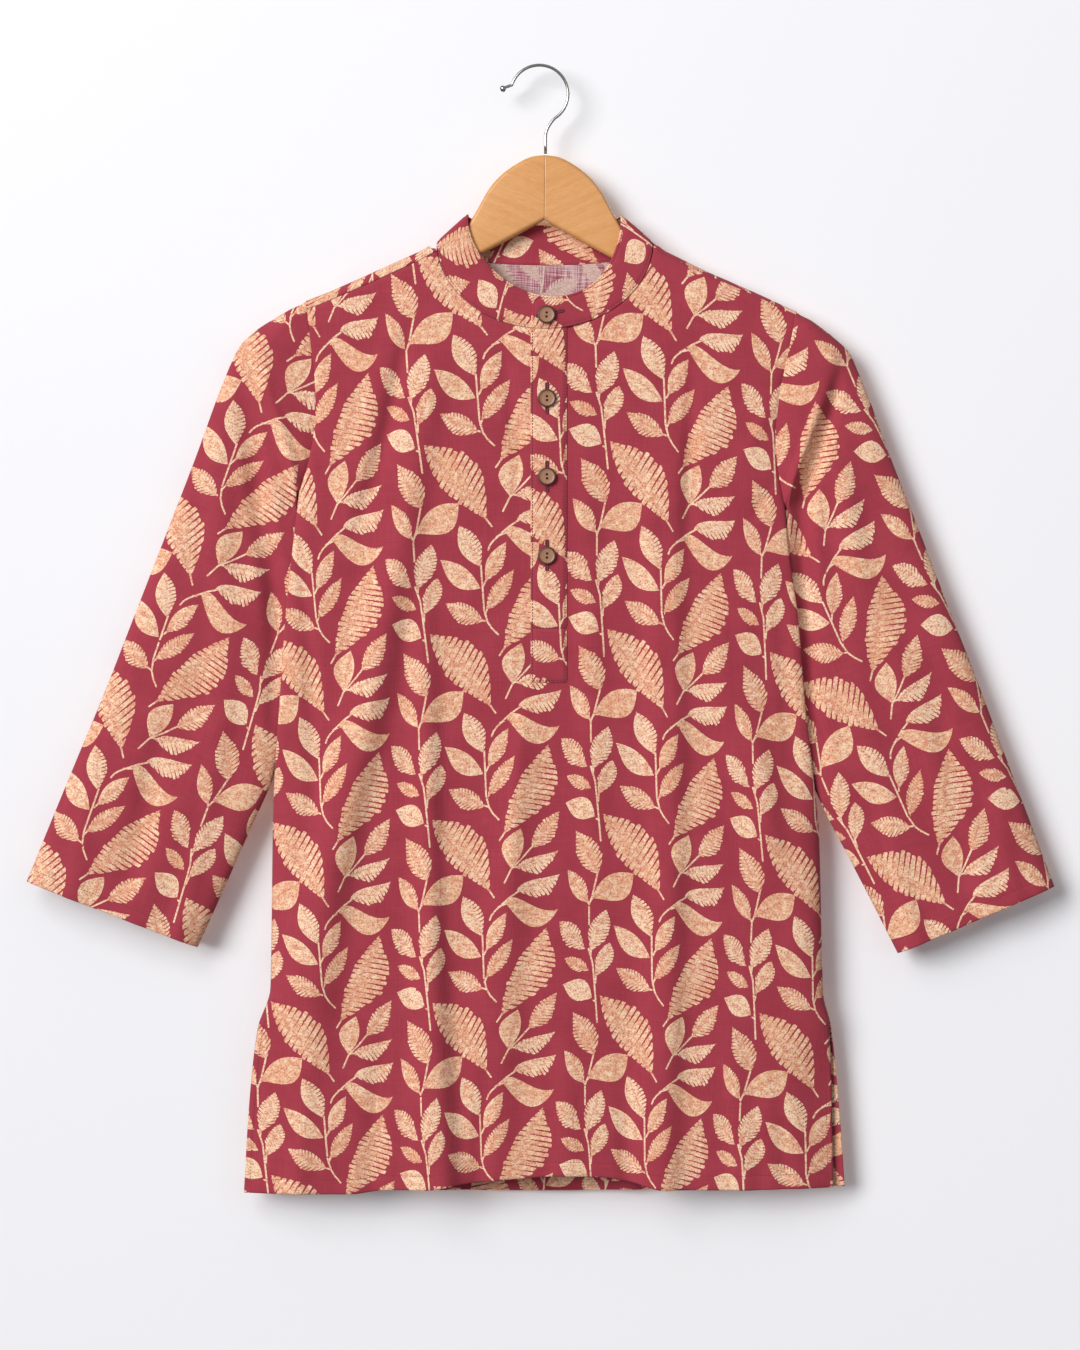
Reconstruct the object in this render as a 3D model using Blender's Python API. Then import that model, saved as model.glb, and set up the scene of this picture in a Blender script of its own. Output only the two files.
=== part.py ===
"""Kurta tunic with a band collar, hanging on a wooden hanger.

The cloth pieces are open walls, cut and joined as a tailor makes them. All tables
are in millimetres, X to the wearer's left, Z up, with the front facing -Y. The
origin is the inside of the hook's top, where the hanger is held.
"""
import math

import bmesh
import bpy
import numpy as np
from mathutils import Matrix, Vector

MM = 0.001
WALL = 1.2                  # cloth wall
COLLAR_WALL = 1.6           # two layers of cloth and an interlining
GAP = 0.3                   # clearance where pieces lie on each other
SEAM = 0.7                  # clearance where two edges are sewn together
COLLAR_SEAM = 0.9           # the same, measured up the leaning collar

# ---- Hanger ----
HANGER_CENTRE = 4.5
HANGER_TILT = 0.53          # degrees, wearer's left arm lower
HANGER_ROUND = 4.6
# Sections of one arm from the middle out: upper edge's distance and height, lower edge's
# distance and height, half depth.
ARM_SECTIONS = ((0.15, -80.0, 0.15, -139.0, 5.9), (12.0, -81.6, 10.0, -144.5, 5.9),
                (23.0, -86.6, 19.0, -149.4, 5.9), (35.5, -95.0, 28.0, -154.4, 5.9),
                (44.8, -104.0, 37.0, -159.5, 5.9), (51.5, -113.0, 45.0, -163.8, 5.9),
                (57.0, -123.0, 52.0, -167.6, 5.9), (62.5, -133.0, 57.5, -170.6, 5.9),
                (69.5, -144.0, 65.0, -174.6, 5.6), (80.0, -156.0, 76.0, -181.0, 5.2),
                (98.0, -168.0, 95.0, -191.0, 5.0), (150.0, -190.0, 147.0, -214.0, 5.0),
                (200.0, -211.8, 196.0, -236.2, 5.0), (207.0, -216.5, 204.5, -236.6, 4.6),
                (210.0, -221.6, 208.8, -233.4, 3.2))
ARM_STEPS = 2
ARM_CORNER_TURNS = (0.0, 45.0, 90.0)

# ---- Hook ----
WIRE_RADIUS = 1.4
HOOK_CENTRE = (-0.6, -24.6)
HOOK_RADIUS = 26.0
HOOK_TIP_ANGLE = 162.0
HOOK_NECK_ANGLE = -57.0
HOOK_STEP = 9.0
HOOK_SHANK_X = 5.0
HOOK_SHANK_TOP = -60.0
HOOK_SHANK_FOOT = -79.2
# Places along the turned-out tip, and the wire's swelling there.
HOOK_TIP = ((-31.0, -18.6, 1.0), (-32.0, -19.2, 1.9), (-33.4, -19.9, 2.2),
            (-34.8, -20.6, 1.9), (-35.8, -21.1, 0.9))

# ---- Shoulders and neck ----
SHOULDER_HALF = 8.2         # half the garment's depth over the hanger
SHOULDER_ROUND = 7.5        # height of the rounding over the hanger
SHOULDER_LINE = ((-211.0, -211.3), (-190.0, -203.3), (-150.0, -185.5), (-110.0, -167.4),
                 (-93.0, -158.0), (102.0, -158.0), (112.0, -166.0), (150.0, -184.8),
                 (192.0, -203.0), (231.0, -221.0))
NECK_CENTRE = 4.5
NECK_HALF = 97.5
NECK_SIDE_Z = -158.0
NECK_FRONT_DROP = 79.0
NECK_BACK_DROP = 20.0
NECK_BACK_FLATNESS = 0.7
BAND_CENTRE = 4.0
BAND_HALF = 69.8
BAND_SIDE_Z = -133.6
BAND_FRONT_DROP = 74.0
BAND_BACK_DROP = 8.5
BAND_SKEW = 5.0             # the band stands a little higher on the wearer's right
BAND_FRONT_DEPTH = 10.4
BAND_BACK_DEPTH = 9.8
BAND_FLATNESS = 0.12
BAND_ROWS = 3
BAND_END_ROUND = 7.5        # degrees of the neck over which the upper end is rounded off
BAND_END_GAP = 0.3          # degrees the under end stops short of the placket's edge
BAND_END_LOW = 0.62         # share of the band's height at the very end
LAP_END = 30.0              # degrees at which the overlapping end has come down to the seam
LAP_EASE = 14.0

# ---- Placket and buttons ----
PLACKET_X = (-8.5, 24.3)
SLIT_X = (7.4, 8.4)
PLACKET_FOOT = -556.5
SLIT_FOOT_ROW = 2           # rows above the placket's foot where the slit begins
BUTTON_X = 6.3
BUTTON_HEIGHTS = (-225.4, -300.5, -371.0, -442.0)
BUTTON_RADIUS = 8.25
BUTTON_HOLE_RADIUS = 1.1
BUTTON_HOLE_SPACING = 4.2
BUTTON_SIDES = 20
BUTTON_LIFT = 0.4           # the button stands clear of the cloth
BUTTON_DRILL_SIDES = 10
BUTTON_DRILL_DEPTH = 12.0
# Radius as a share of the button's, and height above its underside.
BUTTON_PROFILE = ((0.80, 0.0), (0.97, 0.9), (1.0, 1.7), (0.95, 2.6), (0.84, 3.0),
                  (0.72, 2.5), (0.50, 2.2))

# ---- Body ----
UNDERARM_Z = {"right": -384.0, "left": -397.0}
ARMHOLE_BOW = 12.0
CHEST_RISE = 110.0
FRONT_CHEST = 6.6
BACK_CHEST = 4.6
EDGE_ROUND = 28.0
# Height, front panel's edge x, back panel's edge x, depth of the front and back edges.
BODY_EDGE = {
    "right": ((-1018.0, -264.5, -267.5, 4.5, 3.5), (-941.0, -257.5, -263.0, 4.0, 3.0),
              (-869.0, -250.5, -255.5, 3.0, 2.0), (-832.0, -243.5, -243.5, 0.55, 0.55),
              (-668.0, -241.0, -241.0, 0.55, 0.55), (-640.0, -239.5, -239.5, 5.6, 5.0),
              (-606.0, -237.0, -237.0, 10.4, 9.6), (-572.0, -234.5, -234.5, 11.0, 10.2),
              (-493.0, -229.0, -229.0, 11.0, 10.2), (-427.0, -222.0, -222.0, 10.8, 10.0),
              (-384.0, -217.0, -217.0, 9.0, 8.0)),
    "left": ((-1013.0, 264.5, 275.5, 4.5, 3.5), (-943.0, 263.5, 270.5, 4.0, 3.0),
             (-864.0, 261.0, 262.5, 3.0, 2.0), (-838.0, 256.0, 256.0, 0.55, 0.55),
             (-690.0, 252.0, 252.0, 0.55, 0.55), (-662.0, 249.0, 249.0, 5.6, 5.0),
             (-630.0, 245.0, 245.0, 10.4, 9.6), (-572.0, 238.5, 238.5, 11.0, 10.2),
             (-494.0, 232.0, 232.0, 11.0, 10.2), (-445.0, 225.0, 225.0, 10.8, 10.0),
             (-397.0, 220.5, 220.5, 9.0, 8.0)),
}
# Place across the body, height of the hem.
FRONT_HEM = ((-266.0, -1016.5), (-171.0, -1016.5), (-139.0, -1013.0), (-103.0, -1012.0),
             (-75.0, -1008.0), (-20.0, -1002.5), (18.0, -1000.3), (57.0, -1001.2),
             (83.0, -1005.7), (112.0, -1012.6), (155.0, -1012.9), (266.0, -1011.5))
BACK_HEM = ((-268.0, -1016.0), (0.0, -1016.5), (276.0, -1011.0))

# ---- Folds: height, crest x, width on the -X side, width on the +X side, how far it stands out ----
FRONT_FOLDS = (
    ((-930.0, -212.0, 40.0, 34.0, 0.0), (-842.0, -203.0, 40.0, 34.0, 4.0),
     (-707.0, -184.0, 38.0, 32.0, 8.0), (-590.0, -155.0, 36.0, 30.0, 8.0),
     (-410.0, -121.0, 34.0, 26.0, 4.5), (-330.0, -107.0, 32.0, 26.0, 2.5),
     (-240.0, -94.0, 30.0, 28.0, 0.0)),
    ((-1017.0, -86.0, 48.0, 22.0, 11.0), (-887.0, -93.0, 36.0, 20.0, 9.0),
     (-752.0, -99.0, 26.0, 18.0, 6.5), (-572.0, -102.0, 22.0, 18.0, 4.0),
     (-480.0, -106.0, 20.0, 18.0, 2.0), (-390.0, -110.0, 20.0, 18.0, 0.0)),
    ((-1015.0, -42.0, 40.0, 30.0, 2.0), (-806.0, -32.0, 40.0, 26.0, 3.5),
     (-640.0, -16.0, 40.0, 22.0, 2.0), (-560.0, -12.0, 40.0, 22.0, 0.0)),
    ((-1013.0, 110.0, 38.0, 26.0, 6.0), (-850.0, 114.0, 34.0, 24.0, 5.0),
     (-662.0, 119.0, 30.0, 22.0, 4.5), (-392.0, 119.0, 28.0, 20.0, 2.5),
     (-300.0, 122.0, 26.0, 20.0, 0.0)),
    ((-760.0, 214.0, 30.0, 26.0, 0.0), (-680.0, 200.0, 34.0, 28.0, 3.0),
     (-560.0, 170.0, 32.0, 26.0, 2.5), (-480.0, 150.0, 30.0, 24.0, 0.0)),
)
BACK_FOLDS = (
    ((-1016.0, -142.0, 44.0, 36.0, 7.0), (-760.0, -130.0, 40.0, 32.0, 4.0),
     (-430.0, -116.0, 36.0, 30.0, 0.0)),
    ((-1016.0, 16.0, 40.0, 44.0, 5.5), (-800.0, 12.0, 38.0, 40.0, 3.0),
     (-520.0, 8.0, 34.0, 36.0, 0.0)),
    ((-1012.0, 150.0, 34.0, 46.0, 7.0), (-700.0, 132.0, 32.0, 40.0, 4.5),
     (-380.0, 118.0, 30.0, 34.0, 0.0)),
)

# ---- Sleeves ----
# Outer fold x, z, inner fold x, z, depth in front and behind, rounding at the outer
# and the inner fold. The first row is the armhole and the last the cuff.
SLEEVE_RINGS = {
    "right": ((-210.8, -211.0, -217.0, -384.0, 9.0, 8.0, 8.0, 8.0),
              (-229.5, -221.5, -217.6, -386.5, 11.0, 8.5, 12.0, 10.0),
              (-257.5, -239.0, -218.3, -390.0, 12.5, 9.0, 25.0, 20.0),
              (-270.0, -251.0, -216.5, -404.0, 8.6, 8.0, 30.0, 20.0),
              (-278.0, -266.0, -212.0, -432.0, 8.0, 7.6, 30.0, 20.0),
              (-290.0, -295.0, -212.0, -468.0, 8.2, 7.6, 28.0, 22.0),
              (-310.5, -351.5, -214.5, -513.0, 8.4, 7.8, 26.0, 24.0),
              (-336.5, -419.0, -220.0, -558.0, 8.8, 8.2, 26.0, 24.0),
              (-364.5, -491.0, -229.0, -603.0, 10.0, 9.0, 26.0, 24.0),
              (-393.5, -565.5, -240.0, -640.0, 10.6, 10.0, 26.0, 24.0),
              (-417.0, -622.0, -263.0, -692.0, 11.0, 10.5, 26.0, 24.0),
              (-440.5, -679.0, -286.0, -744.0, 11.5, 11.0, 26.0, 24.0),
              (-463.5, -735.5, -309.0, -795.0, 12.0, 11.5, 26.0, 24.0)),
    "left": ((231.2, -220.8, 220.5, -397.0, 9.0, 8.0, 8.0, 8.0),
             (247.5, -231.0, 221.3, -399.5, 11.0, 8.5, 12.0, 10.0),
             (268.0, -247.0, 221.8, -402.0, 12.5, 9.0, 25.0, 20.0),
             (279.0, -258.0, 219.0, -417.0, 8.6, 8.0, 30.0, 20.0),
             (287.0, -275.0, 214.0, -446.0, 8.0, 7.6, 30.0, 20.0),
             (298.0, -302.0, 216.0, -482.0, 8.2, 7.6, 28.0, 22.0),
             (317.0, -354.0, 222.5, -531.0, 8.4, 7.8, 26.0, 24.0),
             (341.0, -415.0, 230.0, -581.0, 8.8, 8.2, 26.0, 24.0),
             (366.5, -482.0, 240.0, -630.0, 10.0, 9.0, 26.0, 24.0),
             (389.5, -540.5, 256.0, -670.0, 10.6, 10.0, 26.0, 24.0),
             (414.5, -607.0, 278.5, -713.5, 11.0, 10.5, 26.0, 24.0),
             (439.5, -673.5, 301.0, -757.0, 11.5, 11.0, 26.0, 24.0),
             (464.5, -740.0, 323.0, -800.5, 12.0, 11.5, 26.0, 24.0)),
}
SLEEVE_HALF_STEPS = 10
SLEEVE_CAP_ROWS = 3         # rings below the armhole that the cap takes up
# Place across the sleeve from its outer fold, half width, height at the elbow and at the cuff.
SLEEVE_FOLDS = {"right": ((0.30, 0.14, 2.4, 1.0), (0.62, 0.13, 1.4, 2.6)),
                "left": ((0.38, 0.13, 1.8, 2.8), (0.66, 0.12, 2.4, 1.4))}

# ---- Divisions of the panels ----
# Shares of the way from a panel's side edge; the neck's corner is NECK_SHARE.
NECK_SHARE = 0.58
SHOULDER_SHARES = (0.0, 0.006, 0.024, 0.065, 0.15, 0.26, 0.37, 0.475, NECK_SHARE)
FRONT_NECK_ANGLES = (69.0, 54.0, 40.0, 24.0)
# Angle of a column's end on the neck seam, share of the neck's half width and drop where it
# leaves the back.
BACK_NECK = ((90.0, 1.035, 9.0), (97.0, 0.965, 6.0), (112.0, 0.85, 6.0), (130.0, 0.68, 8.0),
             (154.0, 0.36, 10.0), (180.0, 0.0, 12.0))
NECK_SPREAD = 9.0           # the corner column's distance outside the neck seam
NECK_CORNER_ANGLE = {"right": 84.2, "left": 88.0}
SHOULDER_SEAM_TURN = {"right": -95.0, "left": -50.0}    # degrees past the top of the shoulder
SHOULDER_SEAM_GAP = 9.0                                 # degrees left between front and back
# How far up each zone of the panels its rows lie: hem, chest and shoulders.
FRONT_ZONES = (tuple(row / 10 for row in range(10)), tuple(row / 6 for row in range(6)),
               (0.0, 0.17, 0.34, 0.52, 0.70, 0.87, 0.95, 0.985, 1.0))
BACK_MIDDLE_Z = -640.0
BACK_ZONE_ROWS = (6, 5, 6)
WRAP_ROWS = 7
WRAP_START_TURN = 105.0
STRAIGHT_PER_DEGREE = 0.1   # drop below the rounding for each degree past a quarter turn

SIGN = {"right": -1.0, "left": 1.0}

CLOTH_COLOUR = (0.39, 0.047, 0.09, 1.0)
BUTTON_COLOUR = (0.26, 0.13, 0.07, 1.0)
WOOD_COLOUR = (0.74, 0.38, 0.13, 1.0)
WIRE_COLOUR = (0.62, 0.62, 0.62, 1.0)


def clear_scene():
    for old in list(bpy.data.objects):
        bpy.data.objects.remove(old, do_unlink=True)


def material(name, colour, roughness, metallic=0.0):
    made = bpy.data.materials.new(name)
    made.use_nodes = True
    shader = made.node_tree.nodes["Principled BSDF"]
    shader.inputs["Base Color"].default_value = colour
    shader.inputs["Roughness"].default_value = roughness
    shader.inputs["Metallic"].default_value = metallic
    return made


def between(low, high, share):
    return low + (high - low) * share


def table_value(table, key, column):
    """Read a column of a table whose first column rises."""
    return float(np.interp(key, [row[0] for row in table], [row[column] for row in table]))


def quarter_round(share):
    """Rise of a quarter ellipse: 0 at its foot, 1 from share 1 on."""
    left_over = 1.0 - min(max(share, 0.0), 1.0)
    return math.sqrt(1.0 - left_over * left_over)


def add_object(name, mesh, finish):
    mesh.shade_smooth()
    mesh.set_sharp_from_angle(angle=math.radians(40.0))
    mesh.materials.append(finish)
    made = bpy.data.objects.new(name, mesh)
    bpy.context.scene.collection.objects.link(made)
    return made


def add_wall(made, thickness):
    """Thicken a surface to the inside, away from its normals."""
    wall = made.modifiers.new("wall", "SOLIDIFY")
    wall.thickness = thickness * MM
    wall.offset = -1.0
    wall.use_rim = True


def cloth_grid(name, points, finish, thickness=WALL, flip=False, cut_cells=()):
    """Make a wall from rows of points; cut_cells are (column, row) cells left out."""
    rows = len(points) - 1
    columns = len(points[0]) - 1
    grid = bmesh.new()
    bmesh.ops.create_grid(grid, x_segments=columns, y_segments=rows, size=1.0)
    cell_of = {}
    for face in grid.faces:
        middle = face.calc_center_median()
        column = int((middle.x + 1.0) / 2.0 * columns)
        row = int((middle.y + 1.0) / 2.0 * rows)
        cell_of[(column, row)] = face
    for vert in grid.verts:
        column = round((vert.co.x + 1.0) / 2.0 * columns)
        row = round((vert.co.y + 1.0) / 2.0 * rows)
        vert.co = Vector(points[row][column]) * MM
    if cut_cells:
        bmesh.ops.delete(grid, geom=[cell_of[cell] for cell in cut_cells], context="FACES")
    if flip:
        bmesh.ops.reverse_faces(grid, faces=grid.faces[:])
    mesh = bpy.data.meshes.new(name)
    grid.to_mesh(mesh)
    grid.free()
    made = add_object(name, mesh, finish)
    add_wall(made, thickness)
    return made


# ---- The garment's outline ----
def shoulder_top(x):
    return table_value(SHOULDER_LINE, x, 1)


def armhole_share(side, z):
    ring = SLEEVE_RINGS[side][0]
    return (z - ring[1]) / (ring[3] - ring[1])


def armhole_bow(side, share):
    share = min(max(share, 0.0), 1.0)
    return -SIGN[side] * ARMHOLE_BOW * math.sin(math.pi * share ** 1.3)


def edge_x(side, z, panel):
    """Place of a panel's side edge: armhole above the underarm, side seam and slit below."""
    if z <= UNDERARM_Z[side]:
        return table_value(BODY_EDGE[side], z, 1 if panel == "front" else 2)
    ring = SLEEVE_RINGS[side][0]
    share = armhole_share(side, z)
    return between(ring[0], ring[2], share) + armhole_bow(side, share)


def edge_depth(side, z, panel):
    if z <= UNDERARM_Z[side]:
        return table_value(BODY_EDGE[side], z, 3 if panel == "front" else 4)
    ring = SLEEVE_RINGS[side][0]
    depth = ring[4] if panel == "front" else ring[5]
    return depth * quarter_round((ring[1] - z) / ring[6])


def relief(folds, x, z):
    """How far the folds stand out of a panel at a place."""
    total = 0.0
    for fold in folds:
        if not fold[0][0] <= z <= fold[-1][0]:
            continue
        distance = x - table_value(fold, z, 1)
        width = table_value(fold, z, 2 if distance < 0.0 else 3)
        if abs(distance) < width:
            swell = 0.5 + 0.5 * math.cos(math.pi * distance / width)
            total += table_value(fold, z, 4) * swell
    return total


def panel_depth(x, z, panel):
    """Distance of a panel's outer side from the hanger's plane, always positive."""
    chest = FRONT_CHEST if panel == "front" else BACK_CHEST
    folds = FRONT_FOLDS if panel == "front" else BACK_FOLDS
    drop = max(shoulder_top(x) - z, 0.0)
    depth = SHOULDER_HALF * quarter_round(drop / SHOULDER_ROUND)
    depth += chest * (1.0 - math.exp(-max(drop - SHOULDER_ROUND, 0.0) / CHEST_RISE))
    side = "right" if x < NECK_CENTRE else "left"
    inset = (x - edge_x(side, z, panel)) * -SIGN[side]
    turn = quarter_round(inset / EDGE_ROUND)
    edge = edge_depth(side, z, panel)
    return between(edge, depth + relief(folds, x, z), turn)


def neck_seam(angle):
    """Point on the neck seam; 0 degrees is the centre front, 180 the centre back."""
    turn = math.radians(angle)
    facing = math.cos(turn)
    x = NECK_CENTRE + NECK_HALF * math.sin(turn)
    if facing >= 0.0:
        z = NECK_SIDE_Z - NECK_FRONT_DROP * facing
        return Vector((x, -panel_depth(x, z, "front"), z))
    z = NECK_SIDE_Z - NECK_BACK_DROP * (-facing) ** NECK_BACK_FLATNESS
    return Vector((x, panel_depth(x, z, "back"), z))


def neck_angle(x):
    return math.degrees(math.asin((x - NECK_CENTRE) / NECK_HALF))


def over_shoulder(x, turn):
    """Point on the rounding over the hanger; turn is 0 on top, positive to the back."""
    angle = math.radians(min(max(turn, -90.0), 90.0))
    straight = max(abs(turn) - 90.0, 0.0) * STRAIGHT_PER_DEGREE
    z = shoulder_top(x) - SHOULDER_ROUND * (1.0 - math.cos(angle)) - straight
    if turn > 90.0:
        return Vector((x, panel_depth(x, z, "back"), z))
    return Vector((x, SHOULDER_HALF * math.sin(angle), z))


def turn_at(drop):
    """Turn to the back at which a point lies so far below the top of the shoulder."""
    if drop <= SHOULDER_ROUND:
        return math.degrees(math.acos(1.0 - drop / SHOULDER_ROUND))
    return 90.0 + (drop - SHOULDER_ROUND) / STRAIGHT_PER_DEGREE


def underarm_level(side, share):
    """Height of the row that meets the underarm, level across the middle."""
    return between(UNDERARM_Z[side], UNDERARM_Z["left"], min(share / NECK_SHARE, 1.0))


# ---- Front ----
def front_top(side, index):
    """Top of the front's column, counted from the side: shoulder seam, then neck seam."""
    corner = neck_seam(SIGN[side] * NECK_CORNER_ANGLE[side])
    last_shoulder = len(SHOULDER_SHARES) - 1
    if index < last_shoulder:
        share = SHOULDER_SHARES[index] / NECK_SHARE
        x = between(SLEEVE_RINGS[side][0][0], corner.x, share)
        return over_shoulder(x, SHOULDER_SEAM_TURN[side])
    if index == last_shoulder:
        return corner
    if index <= last_shoulder + len(FRONT_NECK_ANGLES):
        return neck_seam(SIGN[side] * FRONT_NECK_ANGLES[index - last_shoulder - 1])
    return neck_seam(neck_angle(placket_edge(side)))


def placket_edge(side):
    return PLACKET_X[0] if side == "right" else PLACKET_X[1]


def front_shares():
    count = len(FRONT_NECK_ANGLES) + 1
    neck = [between(NECK_SHARE, 1.0, (step + 1) / count) for step in range(count)]
    return list(SHOULDER_SHARES) + neck


def front_side_column(side, index, share):
    """All the places down one column, from the hem to the top."""
    top = front_top(side, index)
    hem_edge = edge_x(side, FRONT_HEM[0][1], "front")
    hem = table_value(FRONT_HEM, between(hem_edge, placket_edge(side), share), 1)
    levels = (hem, PLACKET_FOOT, underarm_level(side, share), top.z)
    column = []
    for zone, steps in enumerate(FRONT_ZONES):
        for step in steps:
            z = between(levels[zone], levels[zone + 1], step)
            edge = edge_x(side, z, "front")
            x = between(edge, placket_edge(side), share)
            if zone == 2:
                x = between(x, top.x, step * step)
            column.append(Vector((x, -panel_depth(x, z, "front"), z)))
    column[-1] = top
    return column


def front_middle_column(x):
    """A column at one x, used for the placket's and the slit's edges."""
    top = neck_seam(neck_angle(x))
    low = table_value(FRONT_HEM, x, 1)
    levels = (low, PLACKET_FOOT, UNDERARM_Z["left"], top.z)
    column = []
    for zone, steps in enumerate(FRONT_ZONES):
        for step in steps:
            z = between(levels[zone], levels[zone + 1], step)
            column.append(Vector((x, -panel_depth(x, z, "front"), z)))
    return column


def front_columns():
    shares = front_shares()
    right = [front_side_column("right", index, share) for index, share in enumerate(shares[:-1])]
    left = [front_side_column("left", index, share) for index, share in enumerate(shares[:-1])]
    edges = (PLACKET_X[0], SLIT_X[0], SLIT_X[1], PLACKET_X[1])
    middle = [front_middle_column(x) for x in edges]
    return right + middle + left[::-1], len(right)


def as_rows(columns):
    return [list(row) for row in zip(*columns)]


def add_front(finish):
    columns, first_middle = front_columns()
    slit_column = first_middle + 1
    slit_start = len(FRONT_ZONES[0]) + SLIT_FOOT_ROW
    cells = [(slit_column, row) for row in range(slit_start, len(columns[0]) - 1)]
    cloth_grid("front", as_rows(columns), finish, cut_cells=cells)
    return columns[first_middle:first_middle + 4], {"right": columns[0], "left": columns[-1]}


def add_plackets(columns, finish):
    """Strips that follow the front's own points, one outside it and one inside."""
    first_row = len(FRONT_ZONES[0])
    for name, shift in (("placket_top", -(WALL + GAP)), ("placket_under", WALL + GAP)):
        moved = [[point + Vector((0.0, shift, 0.0)) for point in column[first_row:]]
                 for column in columns]
        cloth_grid(name, as_rows(moved), finish)


# ---- Back ----
def back_hem_x(side, share):
    return between(edge_x(side, BACK_HEM[0][1], "back"), NECK_CENTRE, share)


def back_wrap(side, index, share):
    """The column's last stretch, which turns over the shoulder or ends at the neck."""
    shoulder_count = len(SHOULDER_SHARES)
    steps = [step / WRAP_ROWS for step in range(WRAP_ROWS + 1)]
    if index < shoulder_count:
        corner = neck_seam(SIGN[side] * NECK_CORNER_ANGLE[side])
        x = between(SLEEVE_RINGS[side][0][0], corner.x, share / NECK_SHARE)
        spread = SIGN[side] * NECK_SPREAD * (index == shoulder_count - 1)
        end = SHOULDER_SEAM_TURN[side] + SHOULDER_SEAM_GAP
        return [over_shoulder(x + spread * (1.0 - step ** 4), between(WRAP_START_TURN, end, step))
                for step in steps]
    angle, start_share, start_drop = BACK_NECK[index - shoulder_count]
    end = neck_seam(SIGN[side] * angle)
    start_x = NECK_CENTRE + SIGN[side] * NECK_HALF * start_share
    end_drop = NECK_SIDE_Z - end.z
    start_turn = turn_at(end_drop + start_drop)
    path = [over_shoulder(between(start_x, end.x, step),
                          between(start_turn, turn_at(end_drop), step)) for step in steps]
    path[-1] = end
    return path


def back_column(side, index, share):
    wrap = back_wrap(side, index, share)
    hem_z = table_value(BACK_HEM, back_hem_x(side, share), 1)
    levels = (hem_z, BACK_MIDDLE_Z, underarm_level(side, share), wrap[0].z)
    column = []
    for zone, rows in enumerate(BACK_ZONE_ROWS):
        for row in range(rows):
            step = row / rows
            z = between(levels[zone], levels[zone + 1], step)
            edge = edge_x(side, z, "back")
            x = between(edge, NECK_CENTRE, share)
            if zone == 2:
                x = between(x, wrap[0].x, step * step)
            column.append(Vector((x, panel_depth(x, z, "back"), z)))
    return column + wrap


def add_back(finish):
    count = len(BACK_NECK)
    neck = [between(NECK_SHARE, 1.0, (step + 1) / count) for step in range(count)]
    shares = list(SHOULDER_SHARES) + neck
    right = [back_column("right", index, share) for index, share in enumerate(shares)]
    left = [back_column("left", index, share) for index, share in enumerate(shares[:-1])]
    cloth_grid("back", as_rows(right + left[::-1]), finish, flip=True)
    return {"right": right[0], "left": left[0]}


# ---- Sleeves ----
def on_edge(column, z):
    """Where a panel's edge lies at a height, read along its straight stretches."""
    points = sorted([point for point in column if point.z <= column[-1].z], key=lambda p: p.z)
    heights = [point.z for point in points]
    x = np.interp(z, heights, [point.x for point in points])
    y = np.interp(z, heights, [point.y for point in points])
    return float(x), float(y)


def sleeve_ring(side, index, edges):
    """Points round one section: outer fold, front, inner fold, back."""
    rings = SLEEVE_RINGS[side]
    out_x, out_z, in_x, in_z, front, back, round_out, round_in = rings[index]
    length = math.hypot(in_x - out_x, in_z - out_z)
    along = index / (len(rings) - 1)
    bow_share = max(1.0 - index / SLEEVE_CAP_ROWS, 0.0)
    ring = []
    for step in range(2 * SLEEVE_HALF_STEPS):
        angle = math.pi * step / SLEEVE_HALF_STEPS
        share = 0.5 - 0.5 * math.cos(angle)
        facing = -1.0 if step <= SLEEVE_HALF_STEPS else 1.0
        depth = front if facing < 0.0 else back
        depth *= quarter_round(share * length / round_out)
        depth *= quarter_round((1.0 - share) * length / round_in)
        if facing < 0.0 and index > SLEEVE_CAP_ROWS:
            below_cap = min((index - SLEEVE_CAP_ROWS) / 3.0, 1.0)
            for centre, width, elbow, cuff in SLEEVE_FOLDS[side]:
                if abs(share - centre) < width:
                    swell = 0.5 + 0.5 * math.cos(math.pi * (share - centre) / width)
                    depth += between(elbow, cuff, along) * swell * below_cap
        x = between(out_x, in_x, share) + armhole_bow(side, share) * bow_share
        y = facing * depth
        z = between(out_z, in_z, share)
        edge = edges[0] if facing < 0.0 else edges[1]
        if index == 0:
            edge_place, edge_y = on_edge(edge, z)
            x = (edge_place if share < 0.99 else x) + SIGN[side] * SEAM
            y = edge_y if z <= out_z - round_out and share < 0.99 else y
        ring.append(Vector((x, y, z)))
    return ring


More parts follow.
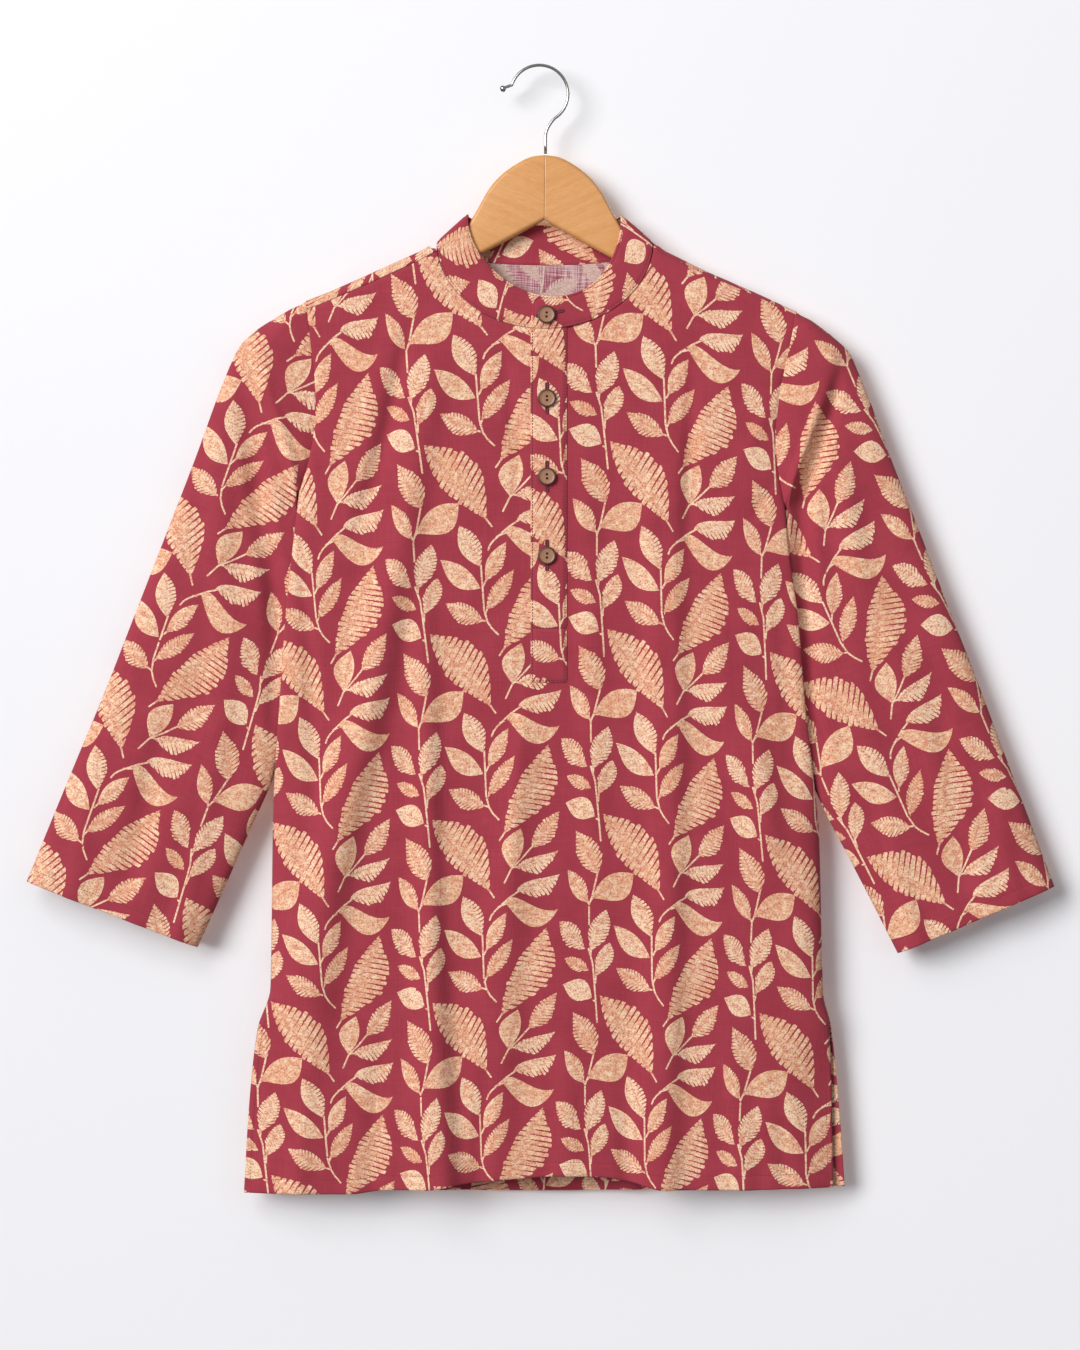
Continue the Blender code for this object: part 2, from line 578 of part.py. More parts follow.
def add_sleeve(side, edges, finish):
    """Tube from the armhole to the cuff; edges are the front's and back's columns it meets."""
    rings = [sleeve_ring(side, index, edges) for index in range(len(SLEEVE_RINGS[side]))]
    tube = bmesh.new()
    sides = 2 * SLEEVE_HALF_STEPS
    first = bmesh.ops.create_circle(tube, cap_ends=False, segments=sides, radius=1.0)
    verts = first["verts"]
    verts.sort(key=lambda vert: math.atan2(vert.co.y, vert.co.x) % (2.0 * math.pi))
    for vert, point in zip(verts, rings[0]):
        vert.co = point * MM
    edges = tube.edges[:]
    for ring in rings[1:]:
        grown = bmesh.ops.extrude_edge_only(tube, edges=edges)
        edges = [item for item in grown["geom"] if isinstance(item, bmesh.types.BMEdge)]
        edges = [edge for edge in edges if edge.is_boundary]
        new_verts = [item for item in grown["geom"] if isinstance(item, bmesh.types.BMVert)]
        fresh = set(new_verts)
        ordered = []
        for vert in verts:
            partner = next(edge.other_vert(vert) for edge in vert.link_edges
                           if edge.other_vert(vert) in fresh)
            ordered.append(partner)
        for vert, point in zip(ordered, ring):
            vert.co = point * MM
        verts = ordered
        edges = [edge for edge in edges if edge.verts[0] in fresh and edge.verts[1] in fresh]
    bmesh.ops.recalc_face_normals(tube, faces=tube.faces[:])
    front_face = min(tube.faces, key=lambda face: face.calc_center_median().y)
    if front_face.normal.y > 0.0:
        bmesh.ops.reverse_faces(tube, faces=tube.faces[:])
    mesh = bpy.data.meshes.new("sleeve_" + side)
    tube.to_mesh(mesh)
    tube.free()
    made = add_object("sleeve_" + side, mesh, finish)
    add_wall(made, WALL)


# ---- Collar ----
def band_top(angle):
    turn = math.radians(angle)
    facing = math.cos(turn)
    x = BAND_CENTRE + BAND_HALF * math.sin(turn)
    flat = abs(facing) ** BAND_FLATNESS if abs(facing) > 1e-6 else 0.0
    skew = BAND_SKEW * math.sin(2.0 * turn) if facing > 0.0 else 0.0
    if facing >= 0.0:
        return Vector((x, -BAND_FRONT_DEPTH * flat, BAND_SIDE_Z - BAND_FRONT_DROP * facing - skew))
    return Vector((x, BAND_BACK_DEPTH * flat, BAND_SIDE_Z + BAND_BACK_DROP * facing))


def collar_angles():
    start = neck_angle(PLACKET_X[0] - GAP)
    slit = neck_angle(SLIT_X[0])
    end = neck_angle(PLACKET_X[1])
    halves = {}
    for side in ("right", "left"):
        halves[side] = (list(reversed(FRONT_NECK_ANGLES)) + [NECK_CORNER_ANGLE[side]]
                        + [row[0] for row in BACK_NECK])
    mirrored = [360.0 - angle for angle in reversed(halves["right"][:-1])]
    closing = [360.0 + start, 360.0 + slit, 360.0 + end - BAND_END_GAP]
    return [start, slit, end] + halves["left"] + mirrored + closing


def band_height(angle):
    """Share of the band's height; the end that lies on top is rounded off."""
    start = neck_angle(PLACKET_X[0] - GAP)
    return between(BAND_END_LOW, 1.0, quarter_round((angle - start) / BAND_END_ROUND))


def collar_column(angle):
    lift = GAP + COLLAR_WALL
    outward = lift * min(max((LAP_END - angle) / LAP_EASE, 0.0), 1.0)
    seam = neck_seam(angle)
    top = band_top(angle)
    rise = (top - seam).normalized()
    foot = seam + rise * COLLAR_SEAM
    foot.y -= outward
    top.y -= outward
    height = band_height(angle)
    column = []
    for row in range(BAND_ROWS + 1):
        share = row / BAND_ROWS * height
        column.append(foot.lerp(top, share))
    return column


def add_collar(finish):
    columns = [collar_column(angle) for angle in collar_angles()]
    cloth_grid("collar_band", as_rows(columns), finish, thickness=COLLAR_WALL)


# ---- Buttons ----
def button_seat(z):
    """A point of the cloth under a button, with the cloth's slope there."""
    if z > NECK_SIDE_Z - NECK_FRONT_DROP:
        angle = neck_angle(BUTTON_X)
        column = collar_column(angle)
        low = column[0]
        high = column[-1]
        share = (z - low.z) / (high.z - low.z)
        return low.lerp(high, share), (high - low).normalized()
    depths = [-panel_depth(BUTTON_X, z + step, "front") for step in (-8.0, 0.0, 8.0)]
    slope = Vector((0.0, depths[2] - depths[0], 16.0)).normalized()
    return Vector((BUTTON_X, depths[1] - WALL - GAP, z)), slope


def add_button(name, z, finish):
    seat, up = button_seat(z)
    disc = bmesh.new()
    rings = []
    for share, height in BUTTON_PROFILE:
        made = bmesh.ops.create_circle(disc, cap_ends=False, segments=BUTTON_SIDES,
                                       radius=share * BUTTON_RADIUS * MM)
        bmesh.ops.translate(disc, verts=made["verts"], vec=(0.0, 0.0, height * MM))
        edges = {edge for vert in made["verts"] for edge in vert.link_edges}
        rings.append(list(edges))
    for lower, upper in zip(rings, rings[1:]):
        bmesh.ops.bridge_loops(disc, edges=lower + upper)
    for ring in (rings[0], rings[-1]):
        bmesh.ops.contextual_create(disc, geom=ring)
    bmesh.ops.recalc_face_normals(disc, faces=disc.faces[:])
    outward = up.cross(Vector((1.0, 0.0, 0.0))).normalized()
    if outward.y > 0.0:
        outward = -outward
    frame = Matrix((up.cross(outward), up, outward)).transposed().to_4x4()
    place = Matrix.Translation((seat + outward * BUTTON_LIFT) * MM)
    mesh = bpy.data.meshes.new(name)
    disc.to_mesh(mesh)
    disc.free()
    button = add_object(name, mesh, finish)
    button.matrix_world = place @ frame
    for hole, side in enumerate((-0.5, 0.5)):
        drill = bmesh.new()
        bmesh.ops.create_cone(drill, cap_ends=True, segments=BUTTON_DRILL_SIDES,
                              radius1=BUTTON_HOLE_RADIUS * MM, radius2=BUTTON_HOLE_RADIUS * MM,
                              depth=BUTTON_DRILL_DEPTH * MM)
        bmesh.ops.translate(drill, verts=drill.verts[:],
                            vec=(0.0, side * BUTTON_HOLE_SPACING * MM, 0.0))
        cutter_mesh = bpy.data.meshes.new(name + "_drill")
        drill.to_mesh(cutter_mesh)
        drill.free()
        cutter = bpy.data.objects.new(name + "_drill_" + str(hole), cutter_mesh)
        bpy.context.scene.collection.objects.link(cutter)
        cutter.matrix_world = place @ frame
        cutter.hide_render = True
        cutter.display_type = "WIRE"
        cut = button.modifiers.new("hole", "BOOLEAN")
        cut.operation = "DIFFERENCE"
        cut.object = cutter


# ---- Hanger ----
def smooth_path(points, steps):
    """Catmull-Rom curve through the points."""
    path = []
    last = len(points) - 1
    for index in range(last):
        before = Vector(points[max(index - 1, 0)])
        start = Vector(points[index])
        end = Vector(points[index + 1])
        after = Vector(points[min(index + 2, last)])
        for step in range(steps):
            t = step / steps
            bend = (2.0 * before - 5.0 * start + 4.0 * end - after) * t * t
            sway = (3.0 * start - 3.0 * end + after - before) * t * t * t
            path.append(0.5 * (2.0 * start + (end - before) * t + bend + sway))
    path.append(Vector(points[last]))
    return path


def arm_sections(side):
    """Rings of points round one arm, with its long edges rounded."""
    upper = smooth_path([row[0:2] for row in ARM_SECTIONS], ARM_STEPS)
    lower = smooth_path([row[2:4] for row in ARM_SECTIONS], ARM_STEPS)
    half = smooth_path([(row[4], 0.0) for row in ARM_SECTIONS], ARM_STEPS)
    tilt = Matrix.Rotation(math.radians(-HANGER_TILT), 2)
    pivot = Vector((0.0, ARM_SECTIONS[0][1]))
    sections = []
    for high, low, depth in zip(upper, lower, half):
        ends = [tilt @ (Vector((end.x * SIGN[side], end.y)) - pivot) + pivot for end in (high, low)]
        length = (ends[0] - ends[1]).length
        radius = min(HANGER_ROUND, depth.x, length / 2.0)
        section = []
        for corner in range(4):
            facing = -1.0 if corner < 2 else 1.0
            rising = corner in (1, 2)
            for turn in ARM_CORNER_TURNS:
                angle = math.radians(turn if corner in (0, 2) else 90.0 - turn)
                y = facing * (depth.x - radius * (1.0 - math.sin(angle)))
                inset = radius * (1.0 - math.cos(angle))
                share = inset / length if rising else 1.0 - inset / length
                place = ends[1].lerp(ends[0], 1.0 - share)
                section.append(Vector((HANGER_CENTRE + place.x, y, place.y)))
        sections.append(section)
    return sections


def add_arm(side, finish):
    sections = arm_sections(side)
    arm = bmesh.new()
    rings = []
    for section in sections:
        made = bmesh.ops.create_circle(arm, cap_ends=False, segments=len(section), radius=1.0)
        verts = made["verts"]
        verts.sort(key=lambda vert: math.atan2(vert.co.y, vert.co.x) % (2.0 * math.pi))
        rings.append(list({edge for vert in verts for edge in vert.link_edges}))
        for vert, point in zip(verts, section):
            vert.co = point * MM
    for inner, outer in zip(rings, rings[1:]):
        bmesh.ops.bridge_loops(arm, edges=inner + outer)
    for ring in (rings[0], rings[-1]):
        bmesh.ops.contextual_create(arm, geom=ring)
    bmesh.ops.recalc_face_normals(arm, faces=arm.faces[:])
    mesh = bpy.data.meshes.new("hanger_arm_" + side)
    arm.to_mesh(mesh)
    arm.free()
    add_object("hanger_arm_" + side, mesh, finish)


def hook_path():
    """Centre line of the wire with its swelling, from the tip to the shank's foot."""
    path = [(x, z, swell) for x, z, swell in reversed(HOOK_TIP)]
    steps = round((HOOK_TIP_ANGLE - HOOK_NECK_ANGLE) / HOOK_STEP)
    for step in range(steps + 1):
        turn = math.radians(between(HOOK_TIP_ANGLE, HOOK_NECK_ANGLE, step / steps))
        x = HOOK_CENTRE[0] + HOOK_RADIUS * math.cos(turn)
        z = HOOK_CENTRE[1] + HOOK_RADIUS * math.sin(turn)
        path.append((x, z, 1.0))
    last_x, last_z, _ = path[-1]
    for step in (0.3, 0.55, 0.8):
        ease = 1.0 - (1.0 - step) ** 2
        path.append((between(last_x, HOOK_SHANK_X, ease),
                     between(last_z, HOOK_SHANK_TOP - 4.0, step), 1.0))
    path.append((HOOK_SHANK_X, HOOK_SHANK_TOP - 4.0, 1.0))
    path.append((HOOK_SHANK_X, between(HOOK_SHANK_TOP, HOOK_SHANK_FOOT, 0.6), 1.0))
    path.append((HOOK_SHANK_X, HOOK_SHANK_FOOT, 1.0))
    return path


def add_hook(finish):
    wire = bpy.data.curves.new("hanger_hook", "CURVE")
    wire.dimensions = "3D"
    wire.bevel_depth = WIRE_RADIUS * MM
    wire.bevel_resolution = 2
    wire.use_fill_caps = True
    path = hook_path()
    spline = wire.splines.new("POLY")
    spline.points.add(len(path) - 1)
    for point, (x, z, swell) in zip(spline.points, path):
        point.co = (x * MM, 0.0, z * MM, 1.0)
        point.radius = swell
    spline.use_smooth = True
    wire.materials.append(finish)
    hook = bpy.data.objects.new("hanger_hook", wire)
    bpy.context.scene.collection.objects.link(hook)


clear_scene()
cloth = material("printed_cotton", CLOTH_COLOUR, 0.85)
coconut = material("button_wood", BUTTON_COLOUR, 0.55)
beech = material("hanger_wood", WOOD_COLOUR, 0.45)
steel = material("hook_wire", WIRE_COLOUR, 0.3, 1.0)

middle_columns, front_edges = add_front(cloth)
add_plackets(middle_columns, cloth)
back_edges = add_back(cloth)
for sleeve_side in ("right", "left"):
    add_sleeve(sleeve_side, (front_edges[sleeve_side], back_edges[sleeve_side]), cloth)
    add_arm(sleeve_side, beech)
add_collar(cloth)
for number, height in enumerate(BUTTON_HEIGHTS, start=1):
    add_button("button_" + str(number), height, coconut)
add_hook(steel)
bpy.context.view_layer.update()
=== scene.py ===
"""Kurta tunic with a band collar, hung on a wooden hanger against a pale wall.

The cloth pieces follow the solids' own tables, cut finer and creased. Tables are
in millimetres, X to the wearer's left, Z up, with the front facing -Y.
"""
import math

import bmesh
import bpy
import numpy as np
from mathutils import Matrix, Vector


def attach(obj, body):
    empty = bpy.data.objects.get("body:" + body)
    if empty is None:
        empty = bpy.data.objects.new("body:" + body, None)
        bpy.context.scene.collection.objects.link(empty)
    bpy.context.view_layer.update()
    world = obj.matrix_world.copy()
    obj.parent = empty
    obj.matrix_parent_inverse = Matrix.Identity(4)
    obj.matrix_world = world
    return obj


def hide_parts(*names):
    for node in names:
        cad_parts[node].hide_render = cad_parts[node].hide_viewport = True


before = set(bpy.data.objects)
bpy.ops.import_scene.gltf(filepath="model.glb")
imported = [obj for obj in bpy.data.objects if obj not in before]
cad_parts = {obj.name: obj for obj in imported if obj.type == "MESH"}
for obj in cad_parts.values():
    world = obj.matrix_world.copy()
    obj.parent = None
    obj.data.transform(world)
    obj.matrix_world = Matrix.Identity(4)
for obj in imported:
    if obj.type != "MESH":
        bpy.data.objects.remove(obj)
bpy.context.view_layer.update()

# ---- Studio ----
# A pale plaster wall stands just behind the garment and a grey floor lies below it, under
# large soft lamps. The wall is one-sided, so the back can be looked at through it.
MM = 0.001
WALL_Y = 22.5
FLOOR_Z = -1290
PLASTER = "F4F4F7"
STONE = "8C8B8C"
STUDIO_HALF = 4000
CAMERA_PLACE = (0, -3387, -549.4)
WINDOW_WAY = (0.64, 0.72, -0.24)


def colour(hex_code):
    """sRGB hex to linear RGBA."""
    parts = [int(hex_code[place:place + 2], 16) / 255 for place in (0, 2, 4)]
    linear = [part / 12.92 if part <= 0.04045 else ((part + 0.055) / 1.055) ** 2.4
              for part in parts]
    return (*linear, 1)


def add_node(tree, kind, links=(), **settings):
    """Add a node, set its settings, then fill its sockets with values or links."""
    node = tree.nodes.new(kind)
    for name, value in settings.items():
        setattr(node, name, value)
    for socket, value in dict(links).items():
        if isinstance(value, bpy.types.NodeSocket):
            tree.links.new(value, node.inputs[socket])
        else:
            node.inputs[socket].default_value = value
    return node


def new_material(name):
    made = bpy.data.materials.new(name)
    made.use_nodes = True
    tree = made.node_tree
    tree.nodes.clear()
    output = add_node(tree, "ShaderNodeOutputMaterial")
    return made, tree, output


def finish_material(tree, output, finish, relief=None):
    """Shade a surface; relief is its height, and how strong and how deep it is."""
    if relief:
        height, strength, depth = relief
        bump = add_node(tree, "ShaderNodeBump", {"Strength": strength, "Distance": depth,
                                                 "Height": height})
        finish = {**finish, "Normal": bump.outputs[0]}
    shader = add_node(tree, "ShaderNodeBsdfPrincipled", finish)
    tree.links.new(shader.outputs[0], output.inputs[0])
    return shader


def place_object(name, data):
    made = bpy.data.objects.new(name, data)
    bpy.context.scene.collection.objects.link(made)
    return made


def take_mesh(shape, name):
    mesh = bpy.data.meshes.new(name)
    shape.to_mesh(mesh)
    shape.free()
    return mesh


# Matt emulsion paint on the wall and honed stone on the floor: no shine, only the faint
# unevenness of a roller or a grinder.
panels = []
for name, tint, rise, centre in (
        ("matt_emulsion", PLASTER, 90, (0, WALL_Y, -550)),
        ("honed_stone", STONE, 0, (0, 0, FLOOR_Z))):
    surface, tree, output = new_material(name)
    place = add_node(tree, "ShaderNodeTexCoord")
    roller = add_node(tree, "ShaderNodeTexNoise", {"Vector": place.outputs["Object"], "Scale": 900})
    paint = finish_material(tree, output, {"Base Color": colour(tint), "Roughness": 0.9},
                            (roller.outputs[0], 0.02, 0.0002))
    side = add_node(tree, "ShaderNodeNewGeometry")
    clear = add_node(tree, "ShaderNodeBsdfTransparent")
    mix = add_node(tree, "ShaderNodeMixShader", {0: side.outputs["Backfacing"],
                                                 1: paint.outputs[0], 2: clear.outputs[0]})
    tree.links.new(mix.outputs[0], output.inputs[0])
    square = bmesh.new()
    bmesh.ops.create_grid(square, x_segments=2, y_segments=2, size=STUDIO_HALF * MM)
    bmesh.ops.rotate(square, verts=square.verts[:],
                     matrix=Matrix.Rotation(math.radians(rise), 3, "X"))
    bmesh.ops.translate(square, verts=square.verts[:], vec=Vector(centre) * MM)
    panels.append(place_object("studio_" + name, take_mesh(square, "studio_" + name)))
    panels[-1].data.materials.append(surface)
wall, floor = panels
wall.visible_diffuse = False
wall.visible_glossy = False
wall.visible_shadow = False
wall.visible_transmission = False

camera_data = bpy.data.cameras.new("camera")
camera_data.lens = 100
camera_data.sensor_width = 36
camera = place_object("camera", camera_data)
camera.location = Vector(CAMERA_PLACE) * MM
camera.rotation_euler = (math.radians(90), 0, 0)
bpy.context.scene.camera = camera

# Name, place, size and power of each lamp; all of them face the garment's middle.
LAMP_TARGET = (0, 0, -500)
LAMPS = (("fill", (1500, -2800, -200), 2600, 5),
         ("near", (-1200, -2000, 850), 1200, 19.5),
         ("back", (300, 2600, 300), 2400, 45))
for name, spot, size, power in LAMPS:
    lamp_data = bpy.data.lights.new(name, "AREA")
    lamp_data.shape = "SQUARE"
    lamp_data.size = size * MM
    lamp_data.energy = power
    lamp = place_object(name, lamp_data)
    lamp.location = Vector(spot) * MM
    way = Vector(LAMP_TARGET) * MM - lamp.location
    lamp.rotation_euler = way.to_track_quat("-Z", "Y").to_euler()

# A broad window far off to the upper left: even over the wall, soft at the shadows' edges.
window_data = bpy.data.lights.new("window", "SUN")
window_data.energy = 2.15
window_data.angle = math.radians(30)
window = place_object("window", window_data)
window.rotation_euler = Vector(WINDOW_WAY).to_track_quat("-Z", "Y").to_euler()

world = bpy.data.worlds.new("studio")
world.use_nodes = True
background = world.node_tree.nodes["Background"]
background.inputs[0].default_value = colour("FBFBFD")
background.inputs[1].default_value = 0.345
bpy.context.scene.world = world
bpy.context.scene.view_settings.view_transform = "Standard"

# ---- Front panel ----
# One piece of printed slub cotton, scooped at the neck, slit down the centre behind the
# placket and split at the hips. It hangs from the shoulders in soft upright folds, and the
# side seams roll back. The hem and the slits are turned under and stitched.
CLOTH = 0.8                 # thickness of one layer
SHOULDER_HALF = 8.2
SHOULDER_ROUND = 7.5
SHOULDER_LINE = ((-211, -211.3), (-190, -203.3), (-150, -185.5), (-110, -167.4),
                 (-93, -158), (102, -158), (112, -166), (150, -184.8),
                 (192, -203), (231, -221))
SHOULDER_SEAM_TURN = {"right": -95, "left": -50}
NECK_CENTRE = 4.5
NECK_HALF = 97.5
NECK_SIDE_Z = -158
NECK_FRONT_DROP = 79
NECK_BACK_DROP = 20
NECK_BACK_FLATNESS = 0.7
NECK_CORNER_ANGLE = {"right": 84.2, "left": 88}
NECK_SHARE = 0.58
NECK_ANGLES = (69, 54, 40, 24)
ARMHOLE = {"right": (-210.8, -211, -217, -384), "left": (231.2, -220.8, 220.5, -397)}
ARMHOLE_BOW = 12
ARMHOLE_DEPTH = {"front": 9, "back": 8}
CHEST_RISE = 110
CHEST = {"front": 6.6, "back": 4.6}
EDGE_ROUND = 28
# Beside a slit the cloth lies flatter: over what width, below what level, how gradually.
SLIT_FLAT = 62
SLIT_LEVEL = -830
SLIT_EASE = 90
PLACKET_X = (-8.5, 24.3)
SLIT_X = (7.4, 8.4)
PLACKET_FOOT = -556.5
SIGN = {"right": -1, "left": 1}
# Height, front panel's edge x, back panel's edge x, depth of the front and back edges.
BODY_EDGE = {
    "right": (
        (-1018, -267.3, -266.5, 2.6, 1.6),
        (-941, -262.8, -262, 2.6, 1.6),
        (-869, -255, -254, 2.2, 1.4),
        (-832, -243.5, -243.5, 0.55, 0.55),
        (-668, -241, -241, 0.55, 0.55),
        (-640, -239.5, -239.5, 5.6, 5),
        (-606, -237, -237, 10.4, 9.6),
        (-572, -234.5, -234.5, 11, 10.2),
        (-493, -229, -229, 11, 10.2),
        (-427, -222, -222, 10.8, 10),
        (-384, -217, -217, 9, 8),
    ),
    "left": (
        (-1013, 264.5, 275.5, 2.8, 1.2),
        (-943, 263.5, 270.5, 2.6, 1.2),
        (-864, 261, 262.5, 2.2, 1),
        (-838, 256, 256, 0.55, 0.55),
        (-690, 252, 252, 0.55, 0.55),
        (-662, 249, 249, 5.6, 5),
        (-630, 245, 245, 10.4, 9.6),
        (-572, 238.5, 238.5, 11, 10.2),
        (-494, 232, 232, 11, 10.2),
        (-445, 225, 225, 10.8, 10),
        (-397, 220.5, 220.5, 9, 8),
    ),
}
FRONT_HEM = ((-266, -1016.5), (-171, -1016.5), (-139, -1013), (-103, -1012),
             (-75, -1008), (-20, -1002.5), (18, -1000.3), (57, -1001.2),
             (83, -1005.7), (112, -1012.6), (155, -1012.9), (266, -1011.5))
# Each fold: height, crest x, width on the -X side, width on the +X side, how far it stands out.
FRONT_FOLDS = (
    ((-930, -212, 40, 34, 0), (-842, -203, 40, 32, 5.5), (-707, -184, 38, 28, 10),
     (-590, -155, 36, 26, 10), (-410, -121, 34, 24, 6.5), (-330, -107, 32, 24, 4),
     (-240, -94, 30, 28, 0)),
    ((-1017, -86, 48, 22, 12.5), (-887, -93, 36, 20, 11), (-752, -99, 26, 18, 8.5),
     (-572, -102, 22, 17, 5.5), (-480, -106, 20, 17, 3), (-390, -110, 20, 18, 0)),
    ((-1015, -42, 40, 30, 2), (-806, -32, 40, 26, 4.5), (-640, -16, 40, 22, 2.6),
     (-560, -12, 40, 22, 0)),
    ((-1013, 110, 38, 24, 7.5), (-850, 114, 34, 22, 6.5), (-662, 119, 30, 20, 6),
     (-392, 119, 28, 18, 3.6), (-300, 122, 26, 20, 0)),
    ((-760, 214, 30, 26, 0), (-680, 200, 34, 26, 4.5), (-560, 170, 32, 24, 4), (-480, 150, 30, 24, 0)),
)
# Creases. Each is a line of x, z, half width and height; a trough is below 0.
FRONT_CREASES = (
    # From the shoulder down past the chest, on the wearer's right.
    ((-112, -222, 9, 0), (-124, -262, 10, -2.2), (-135, -320, 11, -3.1), (-152, -380, 12, -2.1),
     (-171, -446, 12, 0)),
    ((-131, -230, 14, 0), (-146, -290, 16, 2.5), (-158, -345, 17, 3.4), (-176, -410, 18, 2),
     (-192, -470, 18, 0)),
    # Beside the placket.
    ((-36, -236, 8, 0), (-30, -280, 9, -2.1), (-20, -345, 9, -1.7), (-19, -420, 9, 0)),
    ((-14, -560, 8, 0), (-18, -610, 10, 1.8), (-26, -700, 12, 2.2), (-33, -800, 13, 0)),
    ((40, -300, 12, 0), (44, -420, 15, 1.7), (46, -560, 18, 2.2), (52, -760, 20, 1.4),
     (55, -880, 20, 0)),
    # Dark streak and its crest on the wearer's left.
    ((137, -262, 8, 0), (136, -310, 9, -2.2), (134, -400, 10, -2.5), (132, -450, 10, 0)),
    ((96, -330, 12, 0), (99, -430, 14, 2.2), (101, -560, 15, 2.2), (103, -700, 15, 0)),
    ((178, -470, 14, 0), (189, -560, 16, 2.5), (203, -650, 16, 2.8), (210, -720, 15, 0)),
    # The two side seams roll, with a shallow trough inside the roll.
    ((-216, -420, 9, 0), (-212, -470, 10, -2.2), (-206, -560, 12, -3.4), (-203, -640, 12, -2.8),
     (-201, -740, 12, 0)),
    ((214, -440, 10, 0), (218, -520, 12, -2.5), (224, -600, 12, -2.5), (230, -700, 12, 0)),
    # Skirt.
    ((-44, -880, 9, 0), (-52, -940, 10, -2.8), (-56, -1016, 12, -4.2)),
    ((-138, -820, 12, 0), (-144, -900, 14, -2.2), (-152, -1016, 16, -3.4)),
    ((-205, -880, 12, 0), (-212, -940, 14, 2), (-220, -1016, 16, 2.8)),
    ((20, -840, 14, 0), (24, -920, 16, 2), (22, -1003, 18, 3.1)),
    ((72, -860, 11, 0), (77, -930, 12, -2), (80, -1006, 14, -3.1)),
    ((168, -840, 14, 0), (176, -920, 15, 2.1), (184, -1012, 16, 3.1)),
    ((210, -880, 10, 0), (216, -940, 11, -1.7), (220, -1012, 12, -2.2)),
    # Short ones by the armholes and under the arms.
    ((-206, -262, 7, 0), (-186, -292, 9, 1.5), (-160, -330, 9, 0)),
    ((-214, -352, 6, 0), (-198, -366, 8, -1.8), (-178, -392, 9, 0)),
    ((212, -300, 7, 0), (196, -330, 9, 1.7), (172, -372, 9, 0)),
    ((216, -370, 6, 0), (200, -392, 8, -2), (184, -424, 9, 0)),
)
# Slow unevenness of pressed cotton: length and height of each wave, its turn and its shift.
FRONT_WAVES = ((83, 0.32, 12, 0.4), (57, 0.24, -28, 1.9), (39, 0.14, 64, 3.1),
               (31, 0.11, -75, 5), (118, 0.4, 82, 2.2))


def between(low, high, share):
    return low + (high - low) * share


def read(table, key, column):
    """Read a column of a table through a smooth curve that never overshoots."""
    rows = np.array(sorted(table, key=lambda row: row[0]), float)
    places, values = rows[:, 0], rows[:, column]
    steps = np.diff(places)
    rates = np.diff(values) / steps
    slopes = np.concatenate(([rates[0]], np.zeros(len(rates) - 1), [rates[-1]]))
    same = rates[:-1] * rates[1:] > 0
    total = rates[:-1] + rates[1:]
    slopes[1:-1] = np.where(same, 2 * rates[:-1] * rates[1:] / np.where(same, total, 1), 0)
    key = np.clip(np.asarray(key, float), places[0], places[-1])
    cell = np.clip(np.searchsorted(places, key) - 1, 0, len(rates) - 1)
    step = steps[cell]
    t = (key - places[cell]) / step
    rise = values[cell] + (values[cell + 1] - values[cell]) * (3 - 2 * t) * t * t
    lean = slopes[cell] * (1 - t) - slopes[cell + 1] * t
    return rise + lean * step * t * (1 - t)


def quarter_round(share):
    left_over = 1 - np.clip(share, 0, 1)
    return np.sqrt(1 - left_over * left_over)


def shoulder_top(x):
    rows = np.array(SHOULDER_LINE)
    return np.interp(x, rows[:, 0], rows[:, 1])


def armhole_x(side, z):
    top_x, top_z, low_x, low_z = ARMHOLE[side]
    share = np.clip((z - top_z) / (low_z - top_z), 0, 1)
    bow = -SIGN[side] * ARMHOLE_BOW * np.sin(math.pi * share ** 1.3)
    return between(top_x, low_x, share) + bow


def edge_x(side, z, panel):
    """Place of a panel's side edge: armhole above the underarm, side seam and slit below."""
    seam = read(BODY_EDGE[side], z, 1 if panel == "front" else 2)
    return np.where(z <= ARMHOLE[side][3], seam, armhole_x(side, z))


def edge_depth(side, z, panel):
    seam = read(BODY_EDGE[side], z, 3 if panel == "front" else 4)
    cap = ARMHOLE_DEPTH[panel] * quarter_round((ARMHOLE[side][1] - z) / 8)
    return np.where(z <= ARMHOLE[side][3], seam, cap)


def fold_height(folds, x, z):
    """How far the folds stand out of a panel."""
    total = 0
    for fold in folds:
        inside = (z >= fold[0][0]) & (z <= fold[-1][0])
        distance = x - read(fold, z, 1)
        width = np.where(distance < 0, read(fold, z, 2), read(fold, z, 3))
        share = np.clip(np.abs(distance) / width, 0, 1)
        total += np.where(inside, read(fold, z, 4) * (0.5 + 0.5 * np.cos(math.pi * share)), 0)
    return total


def crease_height(creases, x, z):
    """Sum of soft ridges and troughs, each along its own line."""
    total = np.zeros(np.broadcast(x, z).shape)
    for crease in creases:
        nearest = np.full(total.shape, 1e6)
        height = np.zeros(total.shape)
        for start, end in zip(crease, crease[1:]):
            along = np.array([end[0] - start[0], end[1] - start[1]])
            share = ((x - start[0]) * along[0] + (z - start[1]) * along[1]) / (along @ along)
            share = np.clip(share, 0, 1)
            off = np.hypot(x - start[0] - share * along[0], z - start[1] - share * along[1])
            off = off / between(start[2], end[2], share)
            closer = off < nearest
            nearest = np.where(closer, off, nearest)
            height = np.where(closer, between(start[3], end[3], share), height)
        swell = (1 - np.clip(nearest, 0, 1) ** 2) ** 2
        total += height * swell
    return total


